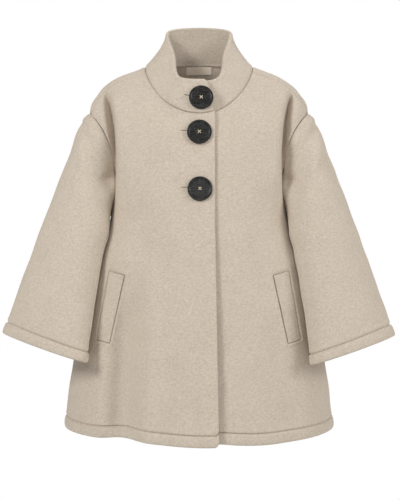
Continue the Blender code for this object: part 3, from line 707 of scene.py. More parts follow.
def clear_of_body(points):
    """Points moved out where they would lie in the body, as a sleeve lies against it."""
    row = np.interp(-points[..., 2], [-r.side_z for r in BODY_RINGS], range(len(BODY_RINGS)))
    depth = np.where(
        points[..., 1] < 0, ring_size("front_depth", row), ring_size("back_depth", row)
    )
    wide = (points[..., 0] / (ring_size("half_width", row) + BODY_CLEAR)) ** 2
    power = 2 / ring_size("roundness", row)
    deep = np.abs(points[..., 1] / (depth + BODY_CLEAR)) ** power
    to_ring = np.ones_like(wide)
    for _ in range(CLEAR_ROUNDS):
        miss = wide * to_ring**2 + deep * to_ring**power - 1
        slope = 2 * wide * to_ring + power * deep * to_ring ** (power - 1)
        to_ring = to_ring - miss / slope
    out = (1 + to_ring**CLEAR_SHARPNESS) ** (1 / CLEAR_SHARPNESS)
    return points * np.stack([out, out, np.ones_like(out)], axis=-1)


def lip_share(turn, along):
    """How much of the lip under the arm there is at places of a sleeve."""
    from_lip = (turn - LIP_TURN + np.pi) % (2 * np.pi) - np.pi
    round_it = hump(from_lip, 0, LIP_TURN_WIDTH)
    below = np.maximum(along - LIP_ALONG, 0)
    down_it = smooth_step(along / LIP_ALONG) * hump(below, 0, LIP_ALONG_WIDTH)
    return (round_it * down_it[:, None])[..., None]


def sleeve(side, turn, along):
    """The sleeve's outer surface, a row of points round it for each place along it.
    Under the arm it runs straight from the armhole to the upper arm."""
    seam, seam_normal = armhole(side, turn)
    cap, upper_arm, *lower = [sleeve_ring(side, turn, r) for r in SLEEVE_RINGS]
    low = ((1 + np.cos(turn)) / 2)[:, None] ** 2
    knots = [0.0, SLEEVE_SET] + [r.along for r in SLEEVE_RINGS]
    high = ((1 - np.cos(turn)) / 2)[:, None] ** 2
    out = seam_normal * UNDERARM_OUT * low
    straight = seam + (upper_arm - seam) * knots[2] / knots[3] + out
    cap = cap + (straight - cap) * low
    fill = SLEEVE_HEAD * high + SLEEVE_FILL * np.sin(turn)[:, None] ** 2
    set_in = seam + (cap - seam) * knots[1] / knots[2] + out + seam_normal * fill
    rings = np.stack([seam, set_in, cap, upper_arm, *lower])
    points = smooth_through(knots, rings, along)
    points = points + lip_share(turn, along) * np.array([-LIP_INWARD * side, -LIP_FORWARD, 0])
    share = smooth_step(along / knots[2])[:, None, None]
    return points + (clear_of_body(points) - points) * share


def sleeve_outward(side, turn, along):
    """The sleeve's normals."""

    def surface(p, q):
        return sleeve(side, p, q)

    return outward(surface, turn, along, SLEEVE_STEP) * side


def mitre(side, turn):
    """The direction through the cloth at the armhole seam, halfway between the body's and
    the sleeve's, and longer than 1 so that both walls keep their thickness."""
    body_normal = armhole(side, turn)[1]
    sleeve_normal = sleeve_outward(side, turn, np.array([SLEEVE_SET]))[0]
    middle = unit(body_normal + sleeve_normal)
    cos = np.sum(middle * body_normal, axis=-1, keepdims=True)
    return middle / np.maximum(cos, STEEPEST_MITRE)


def collar_rim(angle):
    """The rim's points at angles round the neck."""
    mirrored = [RimPoint(p.name, -p.angle, -p.x, p.y, p.z) for p in RIM_POINTS[:0:-1]]
    beyond = [RimPoint(p.name, p.angle + 360, *p[2:]) for p in mirrored[1:2]]
    before = [RimPoint(p.name, p.angle - 360, *p[2:]) for p in RIM_POINTS[-2:-1]]
    table = before + mirrored + list(RIM_POINTS) + beyond
    knots = np.radians([p.angle for p in table])
    turned = (np.asarray(angle) + np.pi) % (2 * np.pi) - np.pi
    return smooth_through(knots, [p[2:] for p in table], turned)


def collar(angle, height):
    """The collar between the neck seam (height 0) and the rim (height 1)."""
    angle, height = np.broadcast_arrays(angle, height)
    base = body(angle, np.zeros_like(angle))
    straight = base + (collar_rim(angle) - base) * height[..., None]
    swell = COLLAR_SWELL * np.sin(angle) ** 2 * 4 * height * (1 - height)
    straight[..., 0] += swell * np.sign(np.sin(angle))
    return straight


def top_offset(points):
    """The upper front stands out where it covers the other, most at its lower edge."""
    cover = smooth_step((points[..., 0] + OVERLAP + OVERLAP_RAMP) / OVERLAP_RAMP)
    edge = smooth_step(points[..., 0] / OVERLAP + EDGE_LIFT_SHIFT)
    low = smooth_step((EDGE_LIFT_START - points[..., 2]) / EDGE_LIFT_RUN)
    return TOP_LIFT * cover + (HEM_LIFT * cover + EDGE_LIFT * edge) * low


def under_offset(points):
    """The lower front lies in where it is covered."""
    return -UNDER_SINK * smooth_step(
        (OVERLAP + OVERLAP_RAMP - points[..., 0]) / OVERLAP_RAMP
    )


def no_offset(points):
    return np.zeros(points.shape[:-1])


def edge_distances(points):
    """How far each point of a grid lies from the grid's first and last column and row."""
    across = np.linalg.norm(np.diff(points, axis=1), axis=2).cumsum(axis=1)
    down = np.linalg.norm(np.diff(points, axis=0), axis=2).cumsum(axis=0)
    left = np.pad(across, ((0, 0), (1, 0)))
    top = np.pad(down, ((1, 0), (0, 0)))
    return left, left[:, -1:] - left, top, top[-1:] - top


def rounding(distance, wall):
    """How much a wall's two faces draw together near an edge, so that the edge is round."""
    half = wall / 2
    near = np.clip(1 - distance / half, 0, 1)
    return EDGE_ROUNDNESS * half * (1 - np.sqrt(1 - near**2))


def rounded_walls(outer, through, distances, wall):
    """Outer and inner points of a wall, drawn together along the through directions at its edges."""
    draw = rounding(np.minimum.reduce(distances), wall)[..., None]
    thick = np.asarray(wall)[..., None]
    return outer - through * draw, outer - through * (thick - draw)


def seam_relief(distance, sizes):
    """A seam pulls the cloth in, and the allowance under it makes it stand out beside the seam."""
    dip = sizes.seam_dip * np.exp(-distance / SEAM_DIP_REACH)
    return sizes.seam_puff * hump(distance, SEAM_PUFF_AT, SEAM_PUFF_WIDTH) - dip


def hem_relief(above_hem, turn, sizes):
    """How far the outer face stands out near a stitched hem, and the wall there."""
    inside = np.clip(above_hem / turn, 0, 1)
    full = sizes.hem_puff * np.sin(np.pi * inside) ** HEM_FULLNESS
    groove = sizes.hem_groove * hump(above_hem, turn, GROOVE_WIDTH)
    shoulder = puff(above_hem - turn, HEM_SHOULDER)
    thick = smooth_step((turn - above_hem) / HEM_STEP)
    wall = sizes.cloth + (sizes.folded_cloth - sizes.cloth) * thick
    return np.where(above_hem < turn, full, 0.0) - groove + shoulder, wall


def welt_place(side, points, sizes):
    """Places of points on a welt: across and down it, both 0 to 1 apart over its sides."""
    x = side * points[..., 0] - WELT_TOP[0]
    z = points[..., 2] - WELT_TOP[1]
    per_across = np.array([-1.0, -math.tan(WELT_END_SLANT)]) * sizes.welt_width
    per_down = np.array([math.sin(WELT_LEAN), -math.cos(WELT_LEAN)]) * sizes.welt_length
    det = per_across[0] * per_down[1] - per_down[0] * per_across[1]
    across = (x * per_down[1] - z * per_down[0]) / det
    down = (z * per_across[0] - x * per_across[1]) / det
    return across / (1 - WELT_TAPER * np.clip(down, 0, 1)), down


def welt_relief(side, points, sizes):
    """The panel lies in under its welt, and stands out a little round it."""
    across, down = welt_place(side, points, sizes)
    beside = (np.abs(across) - 0.5) * sizes.welt_width
    beyond = (np.abs(down - 0.5) - 0.5) * sizes.welt_length
    outside = np.maximum(beside, beyond)
    sunk = WELT_SINK * smooth_step(0.5 - (outside - WELT_DITCH) / WELT_DITCH_RUN)
    ring = np.hypot(np.maximum(beside, 0), np.maximum(beyond, 0))
    return puff(ring, WELT_PUFF) * (outside > 0) - sunk


def front_surface(angle, row, offset):
    """A front panel's face before its edges are worked, and its normals."""
    normal = outward(body, angle, row)
    surface = body(angle, row)
    return surface + normal * (offset(surface) + ripple(surface))[..., None], normal


def corner_rows(row, from_edge):
    """Rows drawn up where a front panel's lower corner is rounded."""
    short = np.clip(FRONT_CORNER - from_edge, 0, FRONT_CORNER)
    drop = FRONT_CORNER - np.sqrt(FRONT_CORNER**2 - short**2)
    share = smooth_step(1 - (HEM_ROW - row) * HEM_HEIGHT / CORNER_FADE)
    return row - drop * share / HEM_HEIGHT


def seam_directions(normal, armhole_edges, seam_distance, sizes, fine):
    """Directions through a panel's cloth: its normals, turned to the mitre along an armhole."""
    rows = body_rows(True, fine, sizes)
    at_armhole = (rows >= TIP_ROW) & (rows <= UNDERARM_ROW)
    down = (rows[at_armhole] - TIP_ROW) / (UNDERARM_ROW - TIP_ROW)
    turn = np.arccos(np.clip(2 * down - 1, -1, 1))
    through = normal.copy()
    for distance, (side, half) in zip(seam_distance, armhole_edges):
        share = np.exp(-distance[at_armhole] / MITRE_FADE)[..., None]
        seam = mitre(side, half * turn)[:, None]
        through[at_armhole] += (seam - through[at_armhole]) * share
    return through


def front_walls(side, sizes):
    """Outer and inner points of a front panel, and the line of its hem stitches."""
    offset = top_offset if side < 0 else under_offset
    angle, row = front_grid(side, sizes)
    from_edge = edge_distances(body(angle, row))[0]
    row = corner_rows(row, from_edge)
    surface, normal = front_surface(angle, row, offset)
    surface[..., 2] += hem_rise(surface, RIGHT_HEM if side < 0 else LEFT_HEM)
    edge, seam, neck, hem = edge_distances(surface)
    stand, wall = hem_relief(hem, sizes.hem_turn, sizes)
    facing_share = smooth_step((FACING_WIDTH - edge) / FACING_FADE)
    wall = np.maximum(wall, sizes.cloth + FACING_CLOTH * facing_share)
    stand = stand + seam_relief(seam, sizes) + seam_relief(neck, sizes)
    stand = stand + puff(edge, EDGE_PUFF) + welt_relief(side, surface, sizes)
    through = seam_directions(normal, [(side, 1)], [seam], sizes, True)
    outer = surface + normal * stand[..., None]
    walls = rounded_walls(outer, through, (edge, seam, neck, hem), wall)
    return walls, hem_line(outer, normal, hem, sizes.hem_turn)


def back_walls(sizes):
    """Outer and inner points of the back panel, and the line of its hem stitches."""
    angle, row = back_grid(sizes)
    surface, normal = front_surface(angle, row, no_offset)
    left, right, neck, hem = edge_distances(surface)
    stand, wall = hem_relief(hem, sizes.hem_turn, sizes)
    for distance in (left, right, neck):
        stand = stand + seam_relief(distance, sizes)
    through = seam_directions(normal, [(1, -1), (-1, -1)], [left, right], sizes, False)
    outer = surface + normal * stand[..., None]
    walls = rounded_walls(outer, through, (left, right, neck, hem), wall)
    return walls, hem_line(outer, normal, hem, sizes.hem_turn)


def sleeve_walls(side, sizes):
    """Outer and inner points of a sleeve, sewn along the underarm, and its line of stitches."""
    edge_turn = (EDGE_STEPS + SEAM_GAP / 2) / SLEEVE_RADIUS
    turn = edged(edge_turn, 0, 2 * np.pi, SLEEVE_ROUND_COUNT)
    edge_along = EDGE_STEPS / SLEEVE_LENGTH
    low = 1 - HEM_ZONE / SLEEVE_LENGTH
    along = joined(
        edge_along,
        np.linspace(edge_along[-1], low, SLEEVE_COUNT),
        np.linspace(low, 1 - edge_along[-1], CUFF_COUNT),
        1 - (sizes.cuff_turn + GROOVE_STEPS) / SLEEVE_LENGTH,
        1 - edge_along,
    )
    seam_depth = mitre(side, turn)
    ahead = armhole(side, turn + NORMAL_STEP)[0] - armhole(side, turn - NORMAL_STEP)[0]
    apart = unit(np.cross(ahead, seam_depth)) * side
    surface = sleeve(side, turn, along)
    own = sleeve_outward(side, turn, along)
    surface = surface + own * ripple(surface)[..., None]
    surface = surface + apart * SEAM_GAP * np.exp(-along / APART_FADE)[:, None, None]
    left, right, seam, _ = edge_distances(surface)
    cuff = ((1 - along) * SLEEVE_LENGTH)[:, None] + 0 * left
    stand, wall = hem_relief(cuff, sizes.cuff_turn, sizes)
    stand = stand + seam_relief(seam, sizes)
    stand = stand + seam_relief(np.minimum(left, right), sizes)
    share = smooth_step(along / WALL_TURN)[:, None, None]
    through = seam_depth * (1 - share) + own * share
    outer = surface + own * stand[..., None]
    walls = rounded_walls(outer, through, (left, right, seam, cuff), wall)
    return walls, hem_line(outer, own, cuff, sizes.cuff_turn)


def hem_line(outer, normal, above_hem, turn):
    """Points and normals along a hem's stitched groove."""
    k = np.abs(above_hem - turn).mean(axis=1).argmin()
    return outer[k], normal[k]


def collar_walls(sizes):
    """Outer and inner points of the collar, which runs once round and laps at the front."""
    neck_width = BODY_RINGS[0].half_width
    end = math.asin(COLLAR_OVERLAP / neck_width)
    angles = edged(EDGE_STEPS / neck_width, -end - 2 * math.pi, end, COLLAR_ROUND_COUNT)[::-1]
    heights = edged(EDGE_STEPS / COLLAR_FRONT_HEIGHT, 0, 1, COLLAR_COUNT)
    angle, height = np.meshgrid(angles, heights)
    from_end = (angles[0] - angle) * neck_width
    short = np.clip(COLLAR_CORNER - from_end, 0, COLLAR_CORNER)
    drop = COLLAR_CORNER - np.sqrt(COLLAR_CORNER**2 - short**2)
    height = height * (1 - drop / COLLAR_FRONT_HEIGHT)
    surface = collar(angle, height)
    up = unit(collar(angle, height + NORMAL_STEP) - collar(angle, height - NORMAL_STEP))
    across = collar(angle + NORMAL_STEP, height) - collar(angle - NORMAL_STEP, height)
    neck_normal = outward(body, angle, np.zeros_like(angle))
    share = smooth_step(height / COLLAR_NORMAL_BLEND)[..., None]
    normal = unit(neck_normal * (1 - share) + unit(np.cross(across, up)) * share)
    over = smooth_step((angle - angles[0] + COLLAR_LAP) / COLLAR_RAMP)
    under = smooth_step((angles[-1] + COLLAR_LAP - angle) / COLLAR_RAMP)
    lap = COLLAR_LIFT * over - COLLAR_SINK * under
    surface = surface + normal * (lap + ripple(surface))[..., None] + up * SEAM_GAP
    left, right, seam, rim = edge_distances(surface)
    stand = seam_relief(seam, sizes) + puff(rim, RIM_PUFF)
    wall = sizes.folded_cloth + (RIM_CLOTH - sizes.folded_cloth) * hump(rim, 0, RIM_CLOTH_REACH)
    outer = surface + normal * stand[..., None]
    return rounded_walls(outer, normal, (left, right, seam, rim), wall)


def find_on_body(x, z):
    """Angle and row of the front's point at x, z in the front view."""
    angle = np.arcsin(np.clip(np.asarray(x) / FIND_WIDTH, -FIND_SINE, FIND_SINE))
    row = np.full_like(angle, UNDERARM_ROW)
    for _ in range(FIND_ROUNDS):
        here = body(angle, row)
        by_angle = (body(angle + FIND_STEP, row) - here) / FIND_STEP
        by_row = (body(angle, row + FIND_STEP) - here) / FIND_STEP
        miss_x = x - here[..., 0]
        miss_z = z - here[..., 2]
        det = by_angle[..., 0] * by_row[..., 2] - by_row[..., 0] * by_angle[..., 2]
        angle = angle + FIND_PACE * (miss_x * by_row[..., 2] - miss_z * by_row[..., 0]) / det
        row = row + FIND_PACE * (miss_z * by_angle[..., 0] - miss_x * by_angle[..., 2]) / det
        angle = np.clip(angle, -FIND_ANGLE, FIND_ANGLE)
        row = np.clip(row, FIND_ROW, HEM_ROW)
    return angle, row


def welt_walls(side, sizes):
    """Outer and inner points of a pocket welt, flush with the front panel."""
    across = edged(EDGE_STEPS / sizes.welt_width, 0, 1, WELT_COUNTS[0])
    down = edged(EDGE_STEPS / sizes.welt_length, 0, 1, WELT_COUNTS[1])
    across, down = np.meshgrid(across - 0.5, down)
    across = across * (1 - WELT_TAPER * down)
    x = WELT_TOP[0] - across * sizes.welt_width + down * sizes.welt_length * math.sin(WELT_LEAN)
    z = WELT_TOP[1] - down * sizes.welt_length * math.cos(WELT_LEAN)
    z = z - across * sizes.welt_width * math.tan(WELT_END_SLANT)
    angle, row = find_on_body(side * x, z)
    offset = top_offset if side < 0 else under_offset
    surface, normal = front_surface(angle, row, offset)
    outer = surface + normal * WELT_PROUD
    return rounded_walls(outer, normal, edge_distances(surface), WELT_CLOTH)


def label_walls(sizes):
    """Outer and inner points of the neck label, laid on the back's inner face."""
    columns, rows = LABEL_COUNTS
    x, row = np.meshgrid(
        np.linspace(0.5, -0.5, columns) * sizes.label_width,
        np.linspace(LABEL_ROW, LABEL_ROW + sizes.label_drop / LABEL_ROW_HEIGHT, rows),
    )
    angle = np.pi - np.arcsin(x / ring_size("half_width", row))
    normal = outward(body, angle, row)
    surface = body(angle, row)
    surface = surface + normal * (ripple(surface) - sizes.cloth - LABEL_GAP)[..., None]
    return rounded_walls(surface, normal, edge_distances(surface), LABEL_CLOTH)


def smooth_mesh(name, points, faces):
    """A smooth-shaded mesh from lists of points and faces."""
    mesh = bpy.data.meshes.new(name)
    mesh.from_pydata(points.tolist(), [], faces)
    mesh.shade_smooth()
    return mesh


def mesh_of(bm, name):
    """A mesh from a finished bmesh, which is freed."""
    mesh = bpy.data.meshes.new(name)
    bm.to_mesh(mesh)
    bm.free()
    return mesh


def add_object(name, data):
    """A new object of the scene."""
    made = bpy.data.objects.new(name, data)
    bpy.context.scene.collection.objects.link(made)
    return made


def wall_mesh(name, walls):
    """A closed mesh from a wall's outer and inner grids."""
    outer, inner = walls
    rows, columns = outer.shape[:2]
    count = rows * columns
    index = np.arange(count).reshape(rows, columns)
    face = np.stack([index[:-1, :-1], index[:-1, 1:], index[1:, 1:], index[1:, :-1]], axis=-1)
    face = face.reshape(-1, 4)
    rim = np.concatenate([index[0], index[1:, -1], index[-1, -2::-1], index[-2:0:-1, 0]])
    after = np.roll(rim, -1)
    side = np.stack([after, rim, rim + count, after + count], axis=-1)
    faces = np.concatenate([face, face[:, ::-1] + count, side])
    points = np.concatenate([outer.reshape(-1, 3), inner.reshape(-1, 3)])
    corner = points[faces]
    volume = np.einsum("ij,ij->i", corner[:, 0], np.cross(corner[:, 1], corner[:, 2])).sum()
    volume += np.einsum("ij,ij->i", corner[:, 0], np.cross(corner[:, 2], corner[:, 3])).sum()
    if volume < 0:
        faces = faces[:, ::-1]
    return smooth_mesh(name, points, faces.tolist())


def place(name, mesh, finish, node=None):
    """Add a piece to the coat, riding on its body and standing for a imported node."""
    mesh.materials.append(finish)
    piece = add_object(name, mesh)
    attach(piece, "root")
    if node:
        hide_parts(node)
    return piece


def add_cloth(node, walls, finish):
    """Add a cloth piece for a node."""
    piece = place(f"{node}_cloth", wall_mesh(node, walls), finish, node)
    outer = walls[0]
    left = edge_distances(outer)[0]
    return piece


def tube_mesh(name, paths, radius, sides=6):
    """One mesh of round threads, each along a path of points and closed at its ends."""
    points = []
    faces = []
    turn = np.linspace(0, 2 * np.pi, sides, endpoint=False)
    for path in paths:
        path = np.asarray(path, float)
        run = unit(np.gradient(path, axis=0))
        aside = unit(np.cross(run, THREAD_ASIDE))
        over = np.cross(run, aside)
        thick = np.full(len(path), radius)
        thick[[0, -1]] *= THREAD_TIP
        cos, sin = np.cos(turn)[None, :, None], np.sin(turn)[None, :, None]
        ring = cos * aside[:, None] + sin * over[:, None]
        start = sum(len(p) for p in points)
        points.append((path[:, None] + ring * thick[:, None, None]).reshape(-1, 3))
        index = start + np.arange(len(path) * sides).reshape(len(path), sides)
        beside = np.roll(index, -1, axis=1)
        quads = np.stack([index[:-1], index[1:], beside[1:], beside[:-1]], axis=-1)
        faces += quads.reshape(-1, 4).tolist()
        faces += [index[0].tolist(), index[-1, ::-1].tolist()]
    return smooth_mesh(name, np.concatenate(points), faces)


def stitch_paths(line, sizes):
    """Short threads along a line of points, each dipping into the cloth at its ends."""
    points, normals = line
    along = np.pad(np.linalg.norm(np.diff(points, axis=0), axis=1).cumsum(), (1, 0))
    count = int(along[-1] / (sizes.stitch * STITCH_PITCH))
    starts = (np.arange(count) + STITCH_START) * along[-1] / count
    paths = []
    for start in starts:
        at = start + np.linspace(0, 1, len(STITCH_ARCH)) * sizes.stitch
        path = np.stack([np.interp(at, along, points[:, k]) for k in range(3)], axis=-1)
        lift = np.stack([np.interp(at, along, normals[:, k]) for k in range(3)], axis=-1)
        paths.append(path + lift * (sizes.thread * STITCH_ARCH)[:, None])
    return paths


def add_hemmed(context, node, made):
    """Add a hung panel and the stitches of its hem."""
    walls, line = made
    sizes = context.scene.coat_sizes
    add_cloth(node, walls, wool_material(context))
    thread = thread_material("hem_thread", context.scene.coat_colours.thread)
    name = f"{node}_stitches"
    place(name, tube_mesh(name, stitch_paths(line, sizes), sizes.thread), thread)


def set_inputs(node, values):
    """Set a node's sockets to fixed values."""
    for name, value in values.items():
        node.inputs[name].default_value = value


def node_group(name, inputs, outputs):
    """A new shader node group with its sockets, and its input and output nodes."""
    group = bpy.data.node_groups.new(name, "ShaderNodeTree")
    for direction, sockets in (("INPUT", inputs), ("OUTPUT", outputs)):
        for socket_name, socket_type, default in sockets:
            socket = group.interface.new_socket(
                socket_name, in_out=direction, socket_type=socket_type
            )
            if default is not None:
                socket.default_value = default
    enter = group.nodes.new("NodeGroupInput")
    leave = group.nodes.new("NodeGroupOutput")
    return group, enter, leave


def math_node(tree, operation, first, second):
    """A math node between two sockets or numbers; its result."""
    node = tree.nodes.new("ShaderNodeMath")
    node.operation = operation
    for socket, value in zip(node.inputs, (first, second)):
        if isinstance(value, (int, float)):
            socket.default_value = value
        else:
            tree.links.new(value, socket)
    return node.outputs[0]


def mix_colour(tree, share, first, second):
    """A colour mix between two colour sockets; its result."""
    node = tree.nodes.new("ShaderNodeMix")
    node.data_type = "RGBA"
    for name, source in (("Factor_Float", share), ("A_Color", first), ("B_Color", second)):
        socket = next(s for s in node.inputs if s.identifier == name)
        tree.links.new(source, socket)
    return next(s for s in node.outputs if s.identifier == "Result_Color")


def noise_value(tree, where, noise):
    """A noise texture's value."""
    node = tree.nodes.new("ShaderNodeTexNoise")
    tree.links.new(where, node.inputs["Vector"])
    set_inputs(node, {name.title(): value for name, value in noise._asdict().items()})
    return node.outputs["Fac"]


def between(tree, value, given, wanted=WHOLE_RANGE):
    """A value stretched so that the given range becomes the wanted one; its result."""
    node = tree.nodes.new("ShaderNodeMapRange")
    tree.links.new(value, node.inputs["Value"])
    set_inputs(node, dict(zip(("From Min", "From Max", "To Min", "To Max"), given + wanted)))
    return node.outputs["Result"]


def felted_fibres():
    """Matted fibres: a colour that varies from broad patches to single flecks, and their height."""
    made = bpy.data.node_groups.get("felted_fibres")
    if made:
        return made
    group, enter, leave = node_group(
        "felted_fibres",
        [
            ("Main", "NodeSocketColor", None),
            ("Shade", "NodeSocketColor", None),
            ("Fleck", "NodeSocketColor", None),
            ("Fineness", "NodeSocketFloat", 1.0),
        ],
        [("Color", "NodeSocketColor", None), ("Height", "NodeSocketFloat", None)],
    )
    coords = group.nodes.new("ShaderNodeTexCoord")
    scaled = group.nodes.new("ShaderNodeVectorMath")
    scaled.operation = "SCALE"
    group.links.new(coords.outputs["Object"], scaled.inputs[0])
    group.links.new(enter.outputs["Fineness"], scaled.inputs["Scale"])
    where = scaled.outputs[0]
    weft = group.nodes.new("ShaderNodeMapping")
    set_inputs(weft, {"Scale": WEFT_STRETCH, "Rotation": WEFT_TURN})
    group.links.new(where, weft.inputs["Vector"])
    patches = noise_value(group, where, PATCHES)
    nap = noise_value(group, where, NAP)
    threads = noise_value(group, weft.outputs[0], WEFT)
    fibres = noise_value(group, where, FIBRES)
    broad = between(group, patches, PATCH_RANGE)
    matted = between(group, nap, NAP_RANGE)
    lines = between(group, threads, WEFT_RANGE)
    shade = math_node(group, "MULTIPLY", math_node(group, "ADD", matted, lines), SHADE_SHARE)
    shade = math_node(group, "ADD", shade, math_node(group, "MULTIPLY", broad, PATCH_SHARE))
    ground = mix_colour(group, shade, enter.outputs["Main"], enter.outputs["Shade"])
    fleck = math_node(group, "MULTIPLY", between(group, fibres, FLECK_RANGE), FLECK_SHARE)
    colour = mix_colour(group, fleck, ground, enter.outputs["Fleck"])
    height = math_node(group, "ADD", math_node(group, "MULTIPLY", nap, NAP_HEIGHT), threads)
    height = math_node(group, "ADD", height, math_node(group, "MULTIPLY", fibres, FIBRE_HEIGHT))
    group.links.new(colour, leave.inputs["Color"])
    group.links.new(height, leave.inputs["Height"])
    return group


def new_material(name):
    """A material with a bare Principled shader, and that shader."""
    made = bpy.data.materials.new(name)
    made.use_nodes = True
    return made, made.node_tree, made.node_tree.nodes["Principled BSDF"]


def add_bump(tree, shader, height, strength, distance):
    """Let a height roughen a shader's normal."""
    bump = tree.nodes.new("ShaderNodeBump")
    set_inputs(bump, {"Strength": strength, "Distance": distance})
    tree.links.new(height, bump.inputs["Height"])
    tree.links.new(bump.outputs["Normal"], shader.inputs["Normal"])


def felt_material(name, main, shade, fleck, felt):
    """A matt material of felted fibres."""
    made = bpy.data.materials.get(name)
    if made:
        return made
    made, tree, shader = new_material(name)
    fibres = tree.nodes.new("ShaderNodeGroup")
    fibres.node_tree = felted_fibres()
    colours = {"Main": main, "Shade": shade, "Fleck": fleck}
    set_inputs(fibres, {socket: (*colour, 1) for socket, colour in colours.items()})
    set_inputs(fibres, {"Fineness": felt.fineness})
    add_bump(tree, shader, fibres.outputs["Height"], FELT_BUMP, felt.relief)
    tree.links.new(fibres.outputs["Color"], shader.inputs["Base Color"])
    set_inputs(shader, FELT_FINISH)
    set_inputs(shader, {"Sheen Weight": felt.sheen, "Sheen Tint": (*fleck, 1)})
    return made


def wool_material(context):
    hue = context.scene.coat_colours
    return felt_material("felted_wool", hue.wool, hue.wool_shade, hue.wool_fleck, WOOL_FELT)


def thread_material(name, colour):
    pale = [min(1.0, THREAD_PALE * c) for c in colour]
    dark = [THREAD_DARK * c for c in colour]
    return felt_material(name, colour, dark, pale, THREAD_FELT)


def label_material(context):
    hue = context.scene.coat_colours
    return felt_material("woven_tape", hue.label, hue.label_shade, hue.wool_fleck, TAPE_FELT)


def horn_material(context):
    """Polished dark horn with paler clouded streaks."""
    made = bpy.data.materials.get("polished_horn")
    if made:
        return made
    hue = context.scene.coat_colours
    made, tree, shader = new_material("polished_horn")
    coords = tree.nodes.new("ShaderNodeTexCoord")
    streaked = tree.nodes.new("ShaderNodeMapping")
    set_inputs(streaked, {"Rotation": HORN_TURN, "Scale": HORN_STRETCH})
    tree.links.new(coords.outputs["Object"], streaked.inputs["Vector"])
    cloud = noise_value(tree, streaked.outputs[0], HORN_CLOUD)
    grain = noise_value(tree, streaked.outputs[0], HORN_GRAIN)
    streak = between(tree, cloud, STREAK_RANGE)
    dark = tree.nodes.new("ShaderNodeRGB")
    dark.outputs[0].default_value = (*hue.horn, 1)
    pale = tree.nodes.new("ShaderNodeRGB")
    pale.outputs[0].default_value = (*hue.horn_streak, 1)
    colour = mix_colour(tree, streak, dark.outputs[0], pale.outputs[0])
    rough = between(tree, grain, WHOLE_RANGE, HORN_ROUGHNESS)
    add_bump(tree, shader, cloud, HORN_BUMP, HORN_RELIEF)
    tree.links.new(colour, shader.inputs["Base Color"])
    tree.links.new(rough, shader.inputs["Roughness"])
    set_inputs(shader, HORN_FINISH)
    return made


def on_top_front(x, z):
    """Points on the upper front at places of the front view, and the normals there."""
    angle, row = find_on_body(np.asarray(x, float), np.asarray(z, float))
    return front_surface(angle, row, top_offset)


def on_collar(x, height):
    """The same on the collar's upper end."""
    angle = np.asarray(x, float) / BODY_RINGS[0].front_depth
    height = np.asarray(height, float)
    point = collar(angle, height)
    up = collar(angle, height + NORMAL_STEP) - point
    across = collar(angle + NORMAL_STEP, height) - point
    normal = unit(np.cross(across, up))
    return point + normal * (COLLAR_LIFT + ripple(point))[..., None], normal


def cloth_under(button):
    """The function that finds the cloth a button lies on."""
    return on_collar if button.on == "collar" else on_top_front


def button_matrix(button):
    """The place of a button's back, with +Z out of the cloth and X level."""
    point, normal = cloth_under(button)(np.array([button.x]), np.array([button.height]))
    out = Vector(normal[0])
    level = Vector((1, 0, 0))
    level = (level - out * level.dot(out)).normalized()
    turn = Matrix((level, out.cross(level), out)).transposed().to_4x4()
    return Matrix.Translation(Vector(point[0]) + out * BUTTON_GAP) @ turn


def button_profile(sizes):
    """Half of a button's section, from the middle of its face round to the middle of its back."""
    radius = sizes.button_radius
    thick = sizes.button_thick
    inner = radius - BUTTON_RIM
    low = thick - BUTTON_DISH
    start = inner - DISH_START
    profile = [(0.0, low), (inner * 0.5, low), (start, low)]
    for t in np.linspace(0.15, 0.85, 5):
        profile.append((start + DISH_RUN * t, low + BUTTON_DISH * smooth_step(t)))
    profile.append((inner + DISH_END, thick))
    corners = ((90, 0, 7, FACE_ROUND, thick - FACE_ROUND), (0, -90, 5, BACK_ROUND, BACK_ROUND))
    for first, last, count, bend, height in corners:
        for t in np.radians(np.linspace(first, last, count)):
            profile.append((radius - bend + bend * math.cos(t), height + bend * math.sin(t)))
    profile.append((0.0, 0.0))
    return profile


def button_mesh(name, matrix, sizes):
    """A turned button with four thread holes, as a mesh in the coat's frame."""
    bm = bmesh.new()
    verts = [bm.verts.new((x, 0, z)) for x, z in button_profile(sizes)]
    for a, b in zip(verts[:-1], verts[1:]):
        bm.edges.new((a, b))
    bmesh.ops.spin(
        bm,
        geom=bm.verts[:] + bm.edges[:],
        cent=(0, 0, 0),
        axis=(0, 0, 1),
        angle=2 * math.pi,
        steps=BUTTON_SEGMENTS,
        use_merge=True,
    )
    bmesh.ops.remove_doubles(bm, verts=bm.verts[:], dist=MERGE_DISTANCE)
    bmesh.ops.recalc_face_normals(bm, faces=bm.faces[:])
    solid = add_object(f"{name}_disc", mesh_of(bm, f"{name}_disc"))
    bm = bmesh.new()
    for k in range(4):
        turn = math.radians(45 + 90 * k)
        reach = Vector((math.cos(turn), math.sin(turn), 0)) * BUTTON_HOLE_REACH
        bmesh.ops.create_cone(
            bm,
            cap_ends=True,
            segments=HOLE_SEGMENTS,
            radius1=sizes.button_hole,
            radius2=sizes.button_hole,
            depth=4 * sizes.button_thick,
            matrix=Matrix.Translation(reach),
        )
    cutter = add_object(f"{name}_drill", mesh_of(bm, f"{name}_drill"))
    cut = solid.modifiers.new("thread_holes", "BOOLEAN")
    cut.operation = "DIFFERENCE"
    cut.object = cutter
    graph = bpy.context.evaluated_depsgraph_get()
    mesh = bpy.data.meshes.new_from_object(solid.evaluated_get(graph))
    for made in (solid, cutter):
        bpy.data.objects.remove(made)
    mesh.name = name
    mesh.transform(matrix)
    mesh.shade_smooth()
    mesh.set_sharp_from_angle(angle=SHARP_ANGLE)
    return mesh


